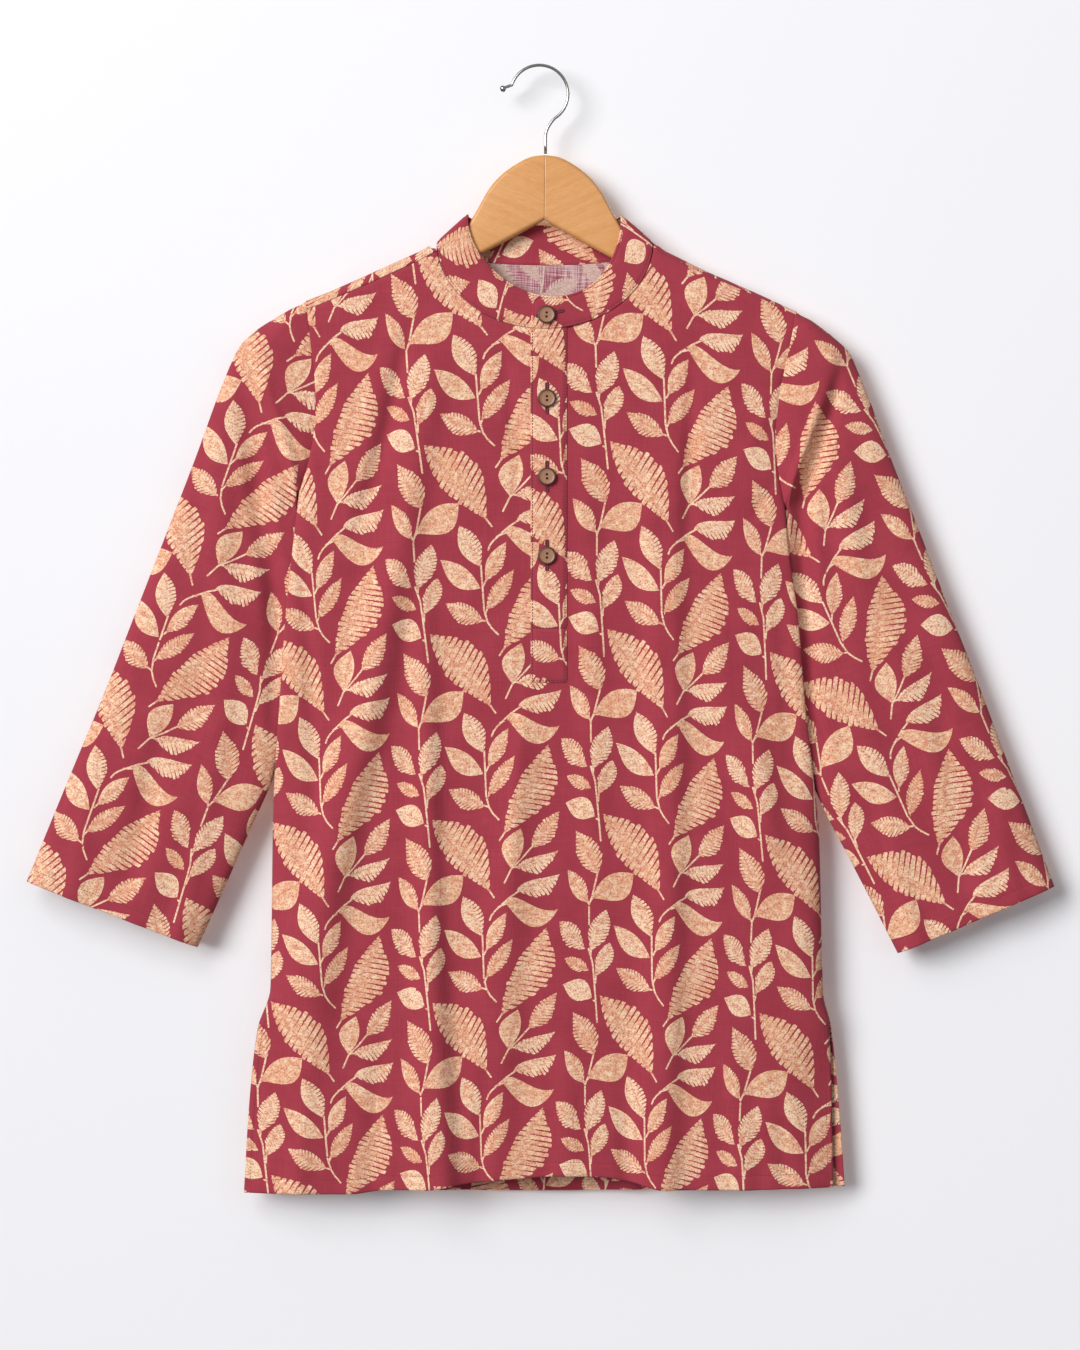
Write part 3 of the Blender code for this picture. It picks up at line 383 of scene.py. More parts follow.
def waves(table, x, z):
    total = 0
    for length, height, turn, shift in table:
        turn = math.radians(turn)
        along = (x * math.cos(turn) + z * math.sin(turn)) / length
        across = (z * math.cos(turn) - x * math.sin(turn)) / (length * 2.3)
        total += height * np.sin(2 * math.pi * along + shift + np.sin(5 * across + shift))
    return total


def panel_depth(x, z, panel, folds, creases, ripples):
    """Distance of a panel's outer side from the hanger's plane, always positive."""
    drop = np.maximum(shoulder_top(x) - z, 0)
    depth = SHOULDER_HALF * quarter_round(drop / SHOULDER_ROUND)
    depth = depth + CHEST[panel] * (1 - np.exp(-np.maximum(drop - SHOULDER_ROUND, 0) / CHEST_RISE))
    right = x < NECK_CENTRE
    inset = np.where(right, x - edge_x("right", z, panel), edge_x("left", z, panel) - x)
    edge = np.where(right, edge_depth("right", z, panel), edge_depth("left", z, panel))
    shaped = crease_height(creases, x, z) + waves(ripples, x, z)
    depth = depth + fold_height(folds, x, z)
    calm = np.clip(drop / 30, 0, 1) * np.clip(inset / 14, 0, 1)
    rolled = quarter_round(inset / EDGE_ROUND)
    flattened = np.sin(math.pi / 2 * np.clip(inset / SLIT_FLAT, 0, 1))
    beside_slit = np.clip((SLIT_LEVEL - z) / SLIT_EASE, 0, 1)
    beside_slit = beside_slit * beside_slit * (3 - 2 * beside_slit)
    return between(edge, depth, between(rolled, flattened, beside_slit)) + shaped * calm


def front_depth(x, z):
    return panel_depth(x, z, "front", FRONT_FOLDS, FRONT_CREASES, FRONT_WAVES)


def neck_seam(angle, depth_of):
    """Points on the neck seam; 0 degrees is the centre front, 180 the centre back."""
    turn = np.radians(angle)
    facing = np.cos(turn)
    x = NECK_CENTRE + NECK_HALF * np.sin(turn)
    drop = np.where(facing >= 0, NECK_FRONT_DROP * facing,
                    NECK_BACK_DROP * np.abs(facing) ** NECK_BACK_FLATNESS)
    z = NECK_SIDE_Z - drop
    y = np.where(facing >= 0, -1, 1) * depth_of(x, z)
    return np.stack([x, y, z], axis=-1)


def neck_angle(x):
    return math.degrees(math.asin((x - NECK_CENTRE) / NECK_HALF))


def over_shoulder(x, turn):
    """Points on the rounding over the hanger; turn is 0 on top, positive to the back."""
    angle = np.radians(np.clip(turn, -90, 90))
    straight = np.maximum(np.abs(turn) - 90, 0) * 0.1
    z = shoulder_top(x) - SHOULDER_ROUND * (1 - np.cos(angle)) - straight
    y = SHOULDER_HALF * np.sin(angle)
    return np.stack([x + 0 * y, y, z], axis=-1)


def underarm_level(side, share):
    return between(ARMHOLE[side][3], ARMHOLE["left"][3], np.minimum(share / NECK_SHARE, 1))


def placket_edge(side):
    return PLACKET_X[0] if side == "right" else PLACKET_X[1]


def even(low, high, count, ends=True):
    return list(np.linspace(low, high, count, endpoint=ends))


# Shares of the way across a half, close together where the seam or the slit's hem lies.
SIDE_SHARES = [0, 0.004, 0.009, 0.016, 0.024, 0.033, 0.045] + even(0.062, NECK_SHARE, 29)
CENTRE_SHARES = even(NECK_SHARE, 1, 24)[1:]
# Shares up each zone of the panel: hem, chest and shoulders.
HEM_ROWS = [0, 0.003, 0.008, 0.019, 0.0265, 0.0295, 0.0325, 0.041] + even(0.052, 1, 86, False)
CHEST_ROWS = even(0, 1, 32, False)
TOP_ROWS = even(0, 0.93, 34) + [0.95, 0.967, 0.98, 0.99, 1]
FRONT_ZONES = (HEM_ROWS, CHEST_ROWS, TOP_ROWS)


def rows_between(levels, zones, x_at, y_at):
    """Rows of points up a panel; each zone between two levels is cut at its own shares."""
    rows = []
    for zone, steps in enumerate(zones):
        for step in steps:
            z = between(levels[zone], levels[zone + 1], step)
            x = x_at(z, zone, step)
            rows.append(np.stack([x, y_at(x, z), z], axis=-1))
    return rows


def front_top(side, shares):
    """Where each column ends: along the shoulder seam, then along the neck seam."""
    corner = neck_seam(SIGN[side] * NECK_CORNER_ANGLE[side], front_depth)
    x = between(ARMHOLE[side][0], corner[0], np.minimum(shares / NECK_SHARE, 1))
    shoulder = over_shoulder(x, SHOULDER_SEAM_TURN[side] + 0 * x)
    knots = [NECK_CORNER_ANGLE[side], *NECK_ANGLES, SIGN[side] * neck_angle(placket_edge(side))]
    angles = np.interp(shares, np.linspace(NECK_SHARE, 1, len(knots)), knots)
    neck = neck_seam(SIGN[side] * angles, front_depth)
    return np.where((shares <= NECK_SHARE)[:, None], shoulder, neck)


def front_half(side):
    """Points of one half, columns first, from the side seam to the placket's edge."""
    shares = np.array(SIDE_SHARES + CENTRE_SHARES)[:-1]
    top = front_top(side, shares)
    hem_edge = float(edge_x(side, np.array(FRONT_HEM[0][1]), "front"))
    hem = read(FRONT_HEM, between(hem_edge, placket_edge(side), shares), 1)
    levels = (hem, PLACKET_FOOT + 0 * shares, underarm_level(side, shares), top[:, 2])

    def x_at(z, zone, step):
        x = between(edge_x(side, z, "front"), placket_edge(side), shares)
        return between(x, top[:, 0], step * step) if zone == 2 else x

    rows = rows_between(levels, FRONT_ZONES, x_at, lambda x, z: -front_depth(x, z))
    return np.stack(rows[:-1] + [top], axis=1)


def upright_columns(places, zones, shift=0):
    """Points of upright columns from the hem or the placket's foot to the neck seam."""
    x = np.array(places)
    top = neck_seam(np.array([neck_angle(place) for place in places]), front_depth)
    levels = (read(FRONT_HEM, x, 1), PLACKET_FOOT + 0 * x, ARMHOLE["left"][3] + 0 * x, top[:, 2])
    return np.stack(rows_between(levels[-len(zones) - 1:], zones, lambda z, zone, step: x,
                                 lambda x, z: shift - front_depth(x, z)), axis=1)


def cloth_mesh(name, points, flat, flip=False, cut=(), join=False):
    """A sheet through columns and rows of points. flat gives each point's place on the
    uncut cloth, in millimetres, kept in the UV map; cut lists cells left out."""
    columns, rows = points.shape[0] - 1, points.shape[1] - 1
    sheet = bmesh.new()
    bmesh.ops.create_grid(sheet, x_segments=columns, y_segments=rows, size=1)
    place_of = {vert: (round((vert.co.x + 1) / 2 * columns),
                       round((vert.co.y + 1) / 2 * rows)) for vert in sheet.verts}
    uv = sheet.loops.layers.uv.new("flat")
    unwanted = []
    for face in sheet.faces:
        places = [place_of[loop.vert] for loop in face.loops]
        if tuple(map(min, zip(*places))) in cut:
            unwanted.append(face)
        for loop, place in zip(face.loops, places):
            loop[uv].uv = flat[place] * MM
    for vert, place in place_of.items():
        vert.co = Vector(points[place]) * MM
    if unwanted:
        bmesh.ops.delete(sheet, geom=unwanted, context="FACES")
    if join:
        bmesh.ops.remove_doubles(sheet, verts=sheet.verts[:], dist=1e-6)
    if flip:
        bmesh.ops.reverse_faces(sheet, faces=sheet.faces[:])
    for face in sheet.faces:
        face.smooth = True
    return take_mesh(sheet, name)


# Block print: cream leaf sprigs left in a dyed ground. The repeat is straight, and places in
# it are millimetres right of and below the fork of its three-leaf sprig.
REPEAT = np.array((154.8, 167.4))
# Base x and y, tip x and y, bend to the right; then for the left and for the right side its
# half width, place of the widest part, fullness and depth of its comb cuts; then the cuts'
# spacing, how they slant to the tip and how they lean across the leaf.
LEAVES = np.array((
    (7.7, -28.8, -13, -68.3, 0, 10.3, 0.40, 2.3, 0.5, 12.6, 0.45, 2.2, 0.6, 3.6, 0.5, 0.1),
    (-0.9, -1.8, -20, -33, 0, 7.2, 0.42, 2.1, 0, 7.4, 0.52, 2.2, 0.35, 3, 0.6, 0),
    (1.8, -5.4, 40, -32.6, 0, 9.9, 0.54, 2.2, 0, 15, 0.56, 2.7, 0, 3.4, 0, 0),
    (-2.7, 41.4, -27, 14.4, 0, 9.8, 0.46, 2.1, 0.45, 8.6, 0.60, 2.3, 0.5, 3, 0.5, 0),
    (1.8, 44.1, 15.6, 3, 0, 8.4, 0.52, 2.4, 0.35, 10.2, 0.55, 2.2, 0.5, 3.3, 0.6, 0),
    (7.2, 66.6, 19.8, 33.3, 0, 6.6, 0.55, 2.2, 0.15, 9.2, 0.58, 2.2, 0.3, 3, 0.6, 0),
    (0.9, 61.2, -21.6, 48.6, 0, 6.3, 0.48, 2.1, 0.35, 6.2, 0.50, 2.2, 0.3, 2.8, 0.6, 0),
    (4.5, 86.4, -22.6, 73, 0, 8.8, 0.45, 2.2, 0, 11.4, 0.48, 2.2, 0, 3, 0, 0),
    (57.2, 23.4, 39.6, -13.5, 0, 9.4, 0.50, 2.2, 0, 9.6, 0.52, 2.2, 0.5, 3.4, 0.25, 0),
    (56.7, 42.3, 22.5, 17.1, 0, 11.8, 0.44, 2.2, 0, 6.8, 0.52, 2.1, 0, 3.4, 0, 0),
    (61.2, 36, 79.2, 1.8, 0, 7.6, 0.50, 2.2, 0, 7.2, 0.45, 2.2, 0.45, 3, 0.5, 0),
    (61.2, 62.1, 85.5, 27, 0, 7.4, 0.48, 2.2, 0.3, 8, 0.45, 2.3, 0.5, 3, 0.5, 0),
    (58.5, 72, 26.1, 55.8, 0, 10.8, 0.47, 2.2, 0.55, 7.8, 0.48, 2.3, 0.5, 3, 0.5, 0),
    (88.5, -16.2, 127.6, -29.6, 0, 5, 0.26, 2.3, 0, 14.6, 0.54, 2.5, 0.5, 3.6, 0.3, 0),
    (78, -6.8, 126, 2.4, 8.5, 11.6, 0.28, 2.1, 0, 11.6, 0.70, 2.2, 0, 3.4, 0, 0),
    (101.7, -55.8, 126.9, -87.3, 0, 7.8, 0.46, 2.1, 0.4, 11.2, 0.42, 2.2, 0.7, 3.2, 0.4, 0.2),
    (82.8, -37.8, 91.2, -74, 0, 13.2, 0.50, 2.4, 0, 6.8, 0.52, 2.1, 0, 3, 0, 0),
    (88.2, -37.8, 126.9, -51.3, 0, 4.2, 0.27, 2.4, 0.15, 12.8, 0.46, 2.6, 0.5, 3.8, 0.3, 0),
    (75.6, 99, 116.1, 18.9, 0, 10.8, 0.50, 2.2, 0.75, 26, 0.55, 2.6, 0.8, 5, 0, 0.25),
    (64.5, -17, 11.7, -84, 0, 12.6, 0.55, 2.5, 0.5, 25, 0.55, 2.4, 0.75, 5.6, 0, 0.42),
))
# Stalks, each a line of places with its half width.
STALKS = (
    ((0.45, 18.5), (0, 0), (2.7, -7.2), (7.2, -28.4)),
    ((0, 0), (-1.8, -4)),
    ((2.2, -5), (4.5, -8.5)),
    ((9.9, 108), (8.6, 94), (7.2, 80.1), (5.6, 64), (4.4, 54), (0.4, 41.4)),
    ((2.4, 47), (3, 41.4)),
    ((6, 88.5), (8.2, 89.5)),
    ((7.4, 72), (7.8, 64)),
    ((71.1, 84.6), (65.6, 78.6), (62.1, 72.9), (59.4, 62.1), (58.5, 44.1), (57.4, 22)),
    ((59, 40.5), (62.5, 33.5)),
    ((60, 66), (62.5, 60)),
    ((61.5, 72.5), (56.5, 71)),
    ((63.9, 8.1), (65.4, 4), (68.5, 0), (75.6, -6.3), (82, -11.6), (90, -16.6)),
    ((71.6, -3.5), (80, -6.6)),
    ((77, -25.2), (82.8, -36.9), (92, -45.5), (102.6, -56.8)),
    ((84, -38.8), (90.2, -38.8)),
    ((77.2, 96), (72, 103.5)),
    ((63, -19), (67.5, -12.5)),
)
STALK_WIDTH = 0.78
LEAF_SLOTS = 3
STALK_SLOTS = 2
# Columns of forks on the front: place in repeats, then x and z of the first to the fifth row.
FRONT_PRINT = (
    (0, (-262.6, -253), (-260.8, -432), (-253.6, -597.5), (-254.1, -765), (-254.7, -921.1)),
    (0.413, (-201.6, -257.8), (-199.8, -436.9), (-192.6, -602.5), (-193.1, -769.9), (-188.1, -926.5)),
    (1, (-120.6, -257.8), (-113.9, -428.8), (-108.9, -598), (-108.9, -761.8), (-107.1, -926.5)),
    (1.413, (-51.3, -256), (-46.8, -428.8), (-43.2, -596.2), (-45, -761.8), (-47.7, -922.9)),
    (2, (50, -253.3), (51.3, -422.5), (45.5, -590.8), (44.1, -755.5), (40.5, -917.5)),
    (2.413, (118.8, -260.5), (115.7, -432.4), (110.7, -598.9), (107.6, -762.7), (100.8, -926.5)),
    (3, (208.4, -277.6), (199.4, -443.2), (190.8, -610.6), (190.4, -771.7), (180, -931.9)),
    (3.413, (270.4, -290), (261.4, -455), (252.8, -622), (252.4, -783), (246.6, -940.9)),
)
# The place on the uncut print is closed in on from a straight repeat that starts here.
FLAT_START = (-275, -256)
FLAT_ROUNDS = 10
GROUND = "A83C4B"
GROUND_DEEP = "922D3A"
LEAF_CREAM = "F9D9B4"
LEAF_TAN = "E9AD82"
LEAF_BURN = "B65A66"
WRONG_GROUND = "9C4A5C"
WRONG_DEEP = "E2C6C4"
WRONG_LEAF = "E3CDBE"
WRONG_TAN = "CFAFA0"


def front_flat(x, z):
    """Place on the uncut print, found by closing in on it through the columns of forks."""
    u_knots = np.array([column[0] for column in FRONT_PRINT])
    forks = np.array([column[1:] for column in FRONT_PRINT])
    u = (x - FLAT_START[0]) / REPEAT[0]
    v = 1 - (z - FLAT_START[1]) / REPEAT[1]
    for _ in range(FLAT_ROUNDS):
        i = np.clip(np.searchsorted(u_knots, u) - 1, 0, len(u_knots) - 2)
        j = np.clip(np.floor(v).astype(int), 1, 4) - 1
        s = (u - u_knots[i]) / (u_knots[i + 1] - u_knots[i])
        t = v - 1 - j
        low = forks[i, j] + (forks[i + 1, j] - forks[i, j]) * s[..., None]
        high = forks[i, j + 1] + (forks[i + 1, j + 1] - forks[i, j + 1]) * s[..., None]
        found = low + (high - low) * t[..., None]
        u = u + (x - found[..., 0]) / REPEAT[0]
        v = v - (z - found[..., 1]) / REPEAT[1]
    return np.stack([u, v], axis=-1) * REPEAT


def nearest_marks(centres, lines, reach, count):
    """The nearest few leaves or stalks to each face, with the corner of their repeat."""
    tile = np.floor(centres / REPEAT)
    steps = [np.array((i, j)) for i in (-1, 0, 1) for j in (-1, 0, 1)]
    gaps = np.empty((len(centres), len(steps) * len(lines)))
    for order, step in enumerate(steps):
        local = centres - (tile + step) * REPEAT
        for index, line in enumerate(lines):
            run = line[2:4] - line[0:2]
            off = local - line[0:2]
            off = off - np.clip(off @ run / (run @ run), 0, 1)[:, None] * run
            gaps[:, order * len(lines) + index] = np.hypot(*off.T) - reach[index]
    chosen = np.argpartition(gaps, count, axis=1)[:, :count]
    corners = [(tile + np.array(steps)[chosen[:, slot] // len(lines)]) * REPEAT
               for slot in range(count)]
    return [chosen[:, slot] % len(lines) for slot in range(count)], corners


def stamp_print(mesh):
    """Write on each face where its nearest leaves and stalks lie, for the dye to follow."""
    loops = len(mesh.loops)
    flat = np.empty(loops * 2, np.float32)
    mesh.uv_layers["flat"].data.foreach_get("uv", flat)
    flat = flat.reshape(-1, 4, 2) / MM
    centres = flat.mean(axis=1)

    def keep(name, domain, values):
        mesh.attributes.new(name, "FLOAT_VECTOR", domain).data.foreach_set(
            "vector", values.astype(np.float32).ravel())

    stalks = np.array([start + end for line in STALKS for start, end in zip(line, line[1:])])
    for kind, lines, count in (("leaf", LEAVES, LEAF_SLOTS), ("stalk", stalks, STALK_SLOTS)):
        reach = 0.42 * (LEAVES[:, 5] + LEAVES[:, 9]) if kind == "leaf" else np.zeros(len(lines))
        marks, corners = nearest_marks(centres, lines, reach, count)
        for slot in range(count):
            mark = lines[marks[slot]]
            run = mark[:, 2:4] - mark[:, 0:2]
            length = np.hypot(run[:, 0], run[:, 1])
            local = flat - (corners[slot] + mark[:, 0:2])[:, None, :]
            along = (local * run[:, None, :]).sum(axis=2) / length[:, None] ** 2
            side = np.stack([-run[:, 1], run[:, 0]], axis=1)
            across = (local * side[:, None, :]).sum(axis=2) / length[:, None]
            if kind == "leaf":
                across -= mark[:, 4:5] * 4 * along * (1 - along)
                for name, first in (("left", 5), ("right", 9)):
                    half, peak, full = mark[:, first], mark[:, first + 1], mark[:, first + 2]
                    low, high = full * peak, full * (1 - peak)
                    keep(f"leaf_{name}_{slot}", "FACE",
                         np.stack([half / peak ** low / (1 - peak) ** high, low, high], axis=1))
                keep(f"leaf_comb_{slot}", "FACE", mark[:, [8, 12, 13]])
                keep(f"leaf_lean_{slot}", "FACE", mark[:, [14, 15, 3]])
            place = np.stack([along, across, np.repeat(length[:, None], 4, axis=1)], axis=2)
            keep(f"{kind}_place_{slot}", "CORNER", place)


def leaf_pattern():
    """One printed leaf: its outline, the cuts of its combed edges and its fibres."""
    tree = bpy.data.node_groups.new("printed_leaf", "ShaderNodeTree")
    for name in ("place", "left", "right", "comb", "lean", "wander"):
        tree.interface.new_socket(name, in_out="INPUT", socket_type="NodeSocketVector")
    for name in ("mask", "fibre", "tone"):
        tree.interface.new_socket(name, in_out="OUTPUT", socket_type="NodeSocketFloat")
    given = add_node(tree, "NodeGroupInput")
    made = add_node(tree, "NodeGroupOutput")
    known = {}
    for name, parts in (("place", ("along", "across", "length")),
                        ("left", ("left_half", "left_low", "left_high")),
                        ("right", ("right_half", "right_low", "right_high")),
                        ("comb", ("left_depth", "right_depth", "spacing")),
                        ("lean", ("slant", "lean", "seed")), ("wander", ("wander", "fuzz", "up"))):
        split = add_node(tree, "ShaderNodeSeparateXYZ", {0: given.outputs[name]})
        known.update(zip(parts, split.outputs))
    # Each step: its name, what is worked out, and from what.
    steps = [("on_right", "GREATER_THAN", "across", 0), ("off", "ABSOLUTE", "across")]
    for fact in ("half", "low", "high", "depth"):
        steps += [(fact + "_gap", "SUBTRACT", "right_" + fact, "left_" + fact),
                  (fact, "MULTIPLY_ADD", fact + "_gap", "on_right", "left_" + fact)]
    steps += [
        ("up_to", "MAXIMUM", "along", 0.0001),
        ("inside_along", "MINIMUM", "up_to", 0.9999),
        ("rest", "SUBTRACT", 1, "inside_along"),
        ("from_base", "POWER", "inside_along", "low"),
        ("from_tip", "POWER", "rest", "high"),
        ("form", "MULTIPLY", "from_base", "from_tip"),
        ("outline", "MULTIPLY", "form", "half"),
        # Where each place lies in the row of comb cuts, which is never quite even.
        ("run", "MULTIPLY", "along", "length"),
        ("slanted", "MULTIPLY", "slant", "off"),
        ("leaning", "MULTIPLY", "lean", "across"),
        ("run_slant", "SUBTRACT", "run", "slanted"),
        ("run_lean", "SUBTRACT", "run_slant", "leaning"),
        ("shaken", "MULTIPLY_ADD", "fuzz", 1.6, "run_lean"),
        ("tooth", "DIVIDE", "shaken", "spacing"),
        ("own_tooth", "MULTIPLY_ADD", "on_right", 0.43, "tooth"),
        ("number", "FLOOR", "own_tooth"),
        ("side_number", "MULTIPLY_ADD", "on_right", 37, "number"),
        ("chance_seed", "ADD", "side_number", "seed"),
        ("in_tooth", "FRACT", "own_tooth"),
        ("spread", "MULTIPLY_ADD", "in_tooth", 2, -1),
        ("to_cut", "ABSOLUTE", "spread"),
        ("combed", "GREATER_THAN", "depth", 0.02),
        # How far each cut reaches and how far the outline swings there is left to chance.
        ("chance", "CHANCE", "chance_seed"),
        ("swing", "MULTIPLY_ADD", "chance", 0.16, -0.1),
        ("round", "POWER", "to_cut", 4),
        ("scallop", "MULTIPLY_ADD", "round", -0.16, "swing"),
        ("own_swing", "MULTIPLY", "scallop", "combed"),
        ("full", "ADD", "own_swing", 0.98),
        ("swung", "MULTIPLY", "outline", "full"),
        ("edge_line", "MULTIPLY_ADD", "wander", 0.9, "swung"),
        ("safe_line", "MAXIMUM", "edge_line", 0.05),
        ("edge", "DIVIDE", "off", "safe_line"),
        ("reach_chance", "MULTIPLY_ADD", "chance", 0.9, 0.26),
        ("reach", "MULTIPLY", "depth", "reach_chance"),
        ("safe_reach", "MAXIMUM", "reach", 0.02),
        ("from_root", "SUBTRACT", "edge", 1),
        ("past_root", "ADD", "from_root", "reach"),
        ("cut_share", "DIVIDE", "past_root", "safe_reach"),
        ("low_cut", "MAXIMUM", "cut_share", 0),
        ("cut", "MINIMUM", "low_cut", 1),
        ("open", "POWER", "cut", 0.38),
        ("width", "MULTIPLY", "open", 0.33),
        ("wavy", "MULTIPLY_ADD", "fuzz", 0.12, "to_cut"),
        ("bank", "SUBTRACT", 1, "width"),
        ("slash", "GREATER_THAN", "wavy", "bank"),
        ("in_cut", "GREATER_THAN", "cut", 0.001),
        ("own_slash", "MULTIPLY", "slash", "in_cut"),
        ("kept", "SUBTRACT", 1, "own_slash"),
        ("within", "GREATER_THAN", "edge_line", "off"),
        ("middle", "SUBTRACT", "along", 0.5),
        ("from_middle", "ABSOLUTE", "middle"),
        ("between_ends", "LESS_THAN", "from_middle", 0.5),
        ("body", "MULTIPLY", "within", "between_ends"),
        ("mask", "MULTIPLY", "body", "kept"),
        # Each cut goes on to the midrib as a fibre, and the midrib shows a little too.
        ("vein", "POWER", "to_cut", 7),
        ("rib_near", "MULTIPLY", "off", -0.9),
        ("rib", "EXPONENT", "rib_near"),
        ("deep_vein", "MULTIPLY_ADD", "combed", 0.75, 0.35),
        ("own_vein", "MULTIPLY", "vein", "deep_vein"),
        ("fibre", "MULTIPLY_ADD", "rib", 0.5, "own_vein"),
        ("tone_run", "MULTIPLY", "seed", 0.37),
        ("tone", "FRACT", "tone_run"),
    ]
    for name, operation, *items in steps:
        links = {spot: known.get(item, item) for spot, item in enumerate(items)}
        if operation == "CHANCE":
            made_node = add_node(tree, "ShaderNodeTexWhiteNoise", {"W": links[0]},
                                 noise_dimensions="1D")
        else:
            made_node = add_node(tree, "ShaderNodeMath", links, operation=operation)
        known[name] = made_node.outputs[0]
    for name in ("mask", "fibre", "tone"):
        tree.links.new(known[name], made.inputs[name])
    return tree


# Slub cotton, dyed and block printed: matt, with thick and thin threads both ways. Threads
# are really 0.4 mm apart; they are drawn about 1 mm apart so that they show.
LEAF_PATTERN = leaf_pattern()


def cotton(name, tints, strength, weave, mottle):
    made, tree, output = new_material(name)
    flat = add_node(tree, "ShaderNodeUVMap", uv_map="flat").outputs[0]
    # Noises over the flat cloth, by their size: 1.5 mm specks, 5 mm blots, 35 mm clouds, and
    # threads along the cloth and across it.
    wander = add_node(tree, "ShaderNodeTexNoise", {"Vector": flat, "Scale": 520,
                                                   "Detail": 2}).outputs[1]
    wander = add_node(tree, "ShaderNodeVectorMath", {0: wander, 1: (0.5, 0.5, 0.5)},
                      operation="SUBTRACT").outputs[0]
    known = {}
    for key, stretch, detail in (("speck", (640, 640, 1), 3),
                                 ("blot", (185, 230, 1), 4),
                                 ("cloud", (30, 26, 1), 3),
                                 ("warp", (1050, 38, 1), 2),
                                 ("weft", (34, 1050, 1), 2)):
        drawn = add_node(tree, "ShaderNodeMapping", {"Vector": flat, "Scale": stretch})
        known[key] = add_node(tree, "ShaderNodeTexNoise",
                              {"Vector": drawn.outputs[0], "Scale": 1, "Detail": detail,
                               "Roughness": 0.62}).outputs[0]
    # Each leaf and each stalk near a place adds to the mask, the fibres and the tone.
    steps = []
    known.update({"mask": 0, "fibre": 0, "tone": 0})
    for slot in range(LEAF_SLOTS):
        leaf = add_node(tree, "ShaderNodeGroup", node_tree=LEAF_PATTERN)
        tree.links.new(wander, leaf.inputs["wander"])
        for fact in ("place", "left", "right", "comb", "lean"):
            kept = add_node(tree, "ShaderNodeAttribute", attribute_name=f"leaf_{fact}_{slot}")
            tree.links.new(kept.outputs["Vector"], leaf.inputs[fact])
        masked, fibred, toned = [leaf.outputs[key] for key in ("mask", "fibre", "tone")]
        steps += [("mask", "MAXIMUM", "mask", masked),
                  ("fibre", "MULTIPLY_ADD", fibred, masked, "fibre"),
                  ("tone", "MULTIPLY_ADD", toned, masked, "tone")]
    for slot in range(STALK_SLOTS):
        place = add_node(tree, "ShaderNodeAttribute", attribute_name=f"stalk_place_{slot}")
        split = add_node(tree, "ShaderNodeSeparateXYZ", {0: place.outputs["Vector"]})
        along, across, length = split.outputs
        steps += [("before", "MULTIPLY", along, -1),
                  ("beyond", "SUBTRACT", along, 1),
                  ("past", "MAXIMUM", "before", "beyond"),
                  ("only_past", "MAXIMUM", "past", 0),
                  ("far", "MULTIPLY", "only_past", length),
                  ("far_square", "MULTIPLY", "far", "far"),
                  ("square", "MULTIPLY_ADD", across, across, "far_square"),
                  ("off", "SQRT", "square"),
                  ("on_stalk", "LESS_THAN", "off", STALK_WIDTH),
                  ("mask", "MAXIMUM", "mask", "on_stalk")]
    steps += [
        ("slub", "ADD", "warp", "weft"),
        ("slub_swing", "SUBTRACT", "slub", 1),
        ("cloud_part", "MULTIPLY_ADD", "cloud", 1.1, -0.2),
        ("ground_mix", "MULTIPLY_ADD", "slub_swing", weave, "cloud_part"),
        # The tan lies in blots and along the fibres; the burnt specks are finer.
        ("blot_part", "MULTIPLY_ADD", "blot", 3.9 * mottle, -1.85 * mottle),
        ("fibre_part", "MULTIPLY_ADD", "fibre", 0.5 * mottle, "blot_part"),
        ("tone_part", "MULTIPLY_ADD", "tone", 0.5, "fibre_part"),
        ("cloud_tan", "MULTIPLY_ADD", "cloud", 1.3, "tone_part"),
        ("tan_mix", "SUBTRACT", "cloud_tan", 0.62),
        ("speck_part", "MULTIPLY_ADD", "speck", 5, -2.95),
        ("speck_fibre", "MULTIPLY_ADD", "fibre", 0.45, "speck_part"),
        ("speck_blot", "MULTIPLY_ADD", "blot", 1.2, "speck_fibre"),
        ("burn_only", "MAXIMUM", "speck_blot", 0),
        ("burn_part", "MINIMUM", "burn_only", 1),
        ("burn_mix", "MULTIPLY", "burn_part", 0.82 * mottle),
        ("worn", "MULTIPLY_ADD", "speck", -1.5, 1.93),
        ("worn_top", "MINIMUM", "worn", 1),
        ("printed", "MULTIPLY", "mask", "worn_top"),
        ("shown", "MULTIPLY", "printed", strength),
    ]
    for key, operation, *items in steps:
        links = {spot: known.get(item, item) for spot, item in enumerate(items)}
        known[key] = add_node(tree, "ShaderNodeMath", links, operation=operation).outputs[0]
    ground, deep, cream, tan, burn = [colour(tint) for tint in tints]
    known.update({"ground": ground, "deep": deep, "cream": cream, "tan": tan, "burn": burn})
    for key, share, low, high in (("dyed_ground", "ground_mix", "ground", "deep"),
                                  ("leaves", "tan_mix", "cream", "tan"),
                                  ("burnt", "burn_mix", "leaves", "burn"),
                                  ("dyed", "shown", "dyed_ground", "burnt")):
        known[key] = add_node(tree, "ShaderNodeMix", {0: known[share], 6: known[low],
                                                      7: known[high]},
                              data_type="RGBA").outputs[2]
    finish_material(tree, output, {"Base Color": known["dyed"], "Roughness": 0.88, "IOR": 1.5,
                                   "Specular IOR Level": 0.25, "Sheen Weight": 0.1,
                                   "Sheen Roughness": 0.5}, (known["slub"], 0.4, 0.0003))
    return made


cotton_right = cotton("slub_cotton", (GROUND, GROUND_DEEP, LEAF_CREAM, LEAF_TAN, LEAF_BURN),
                      1, 0.9, 1)
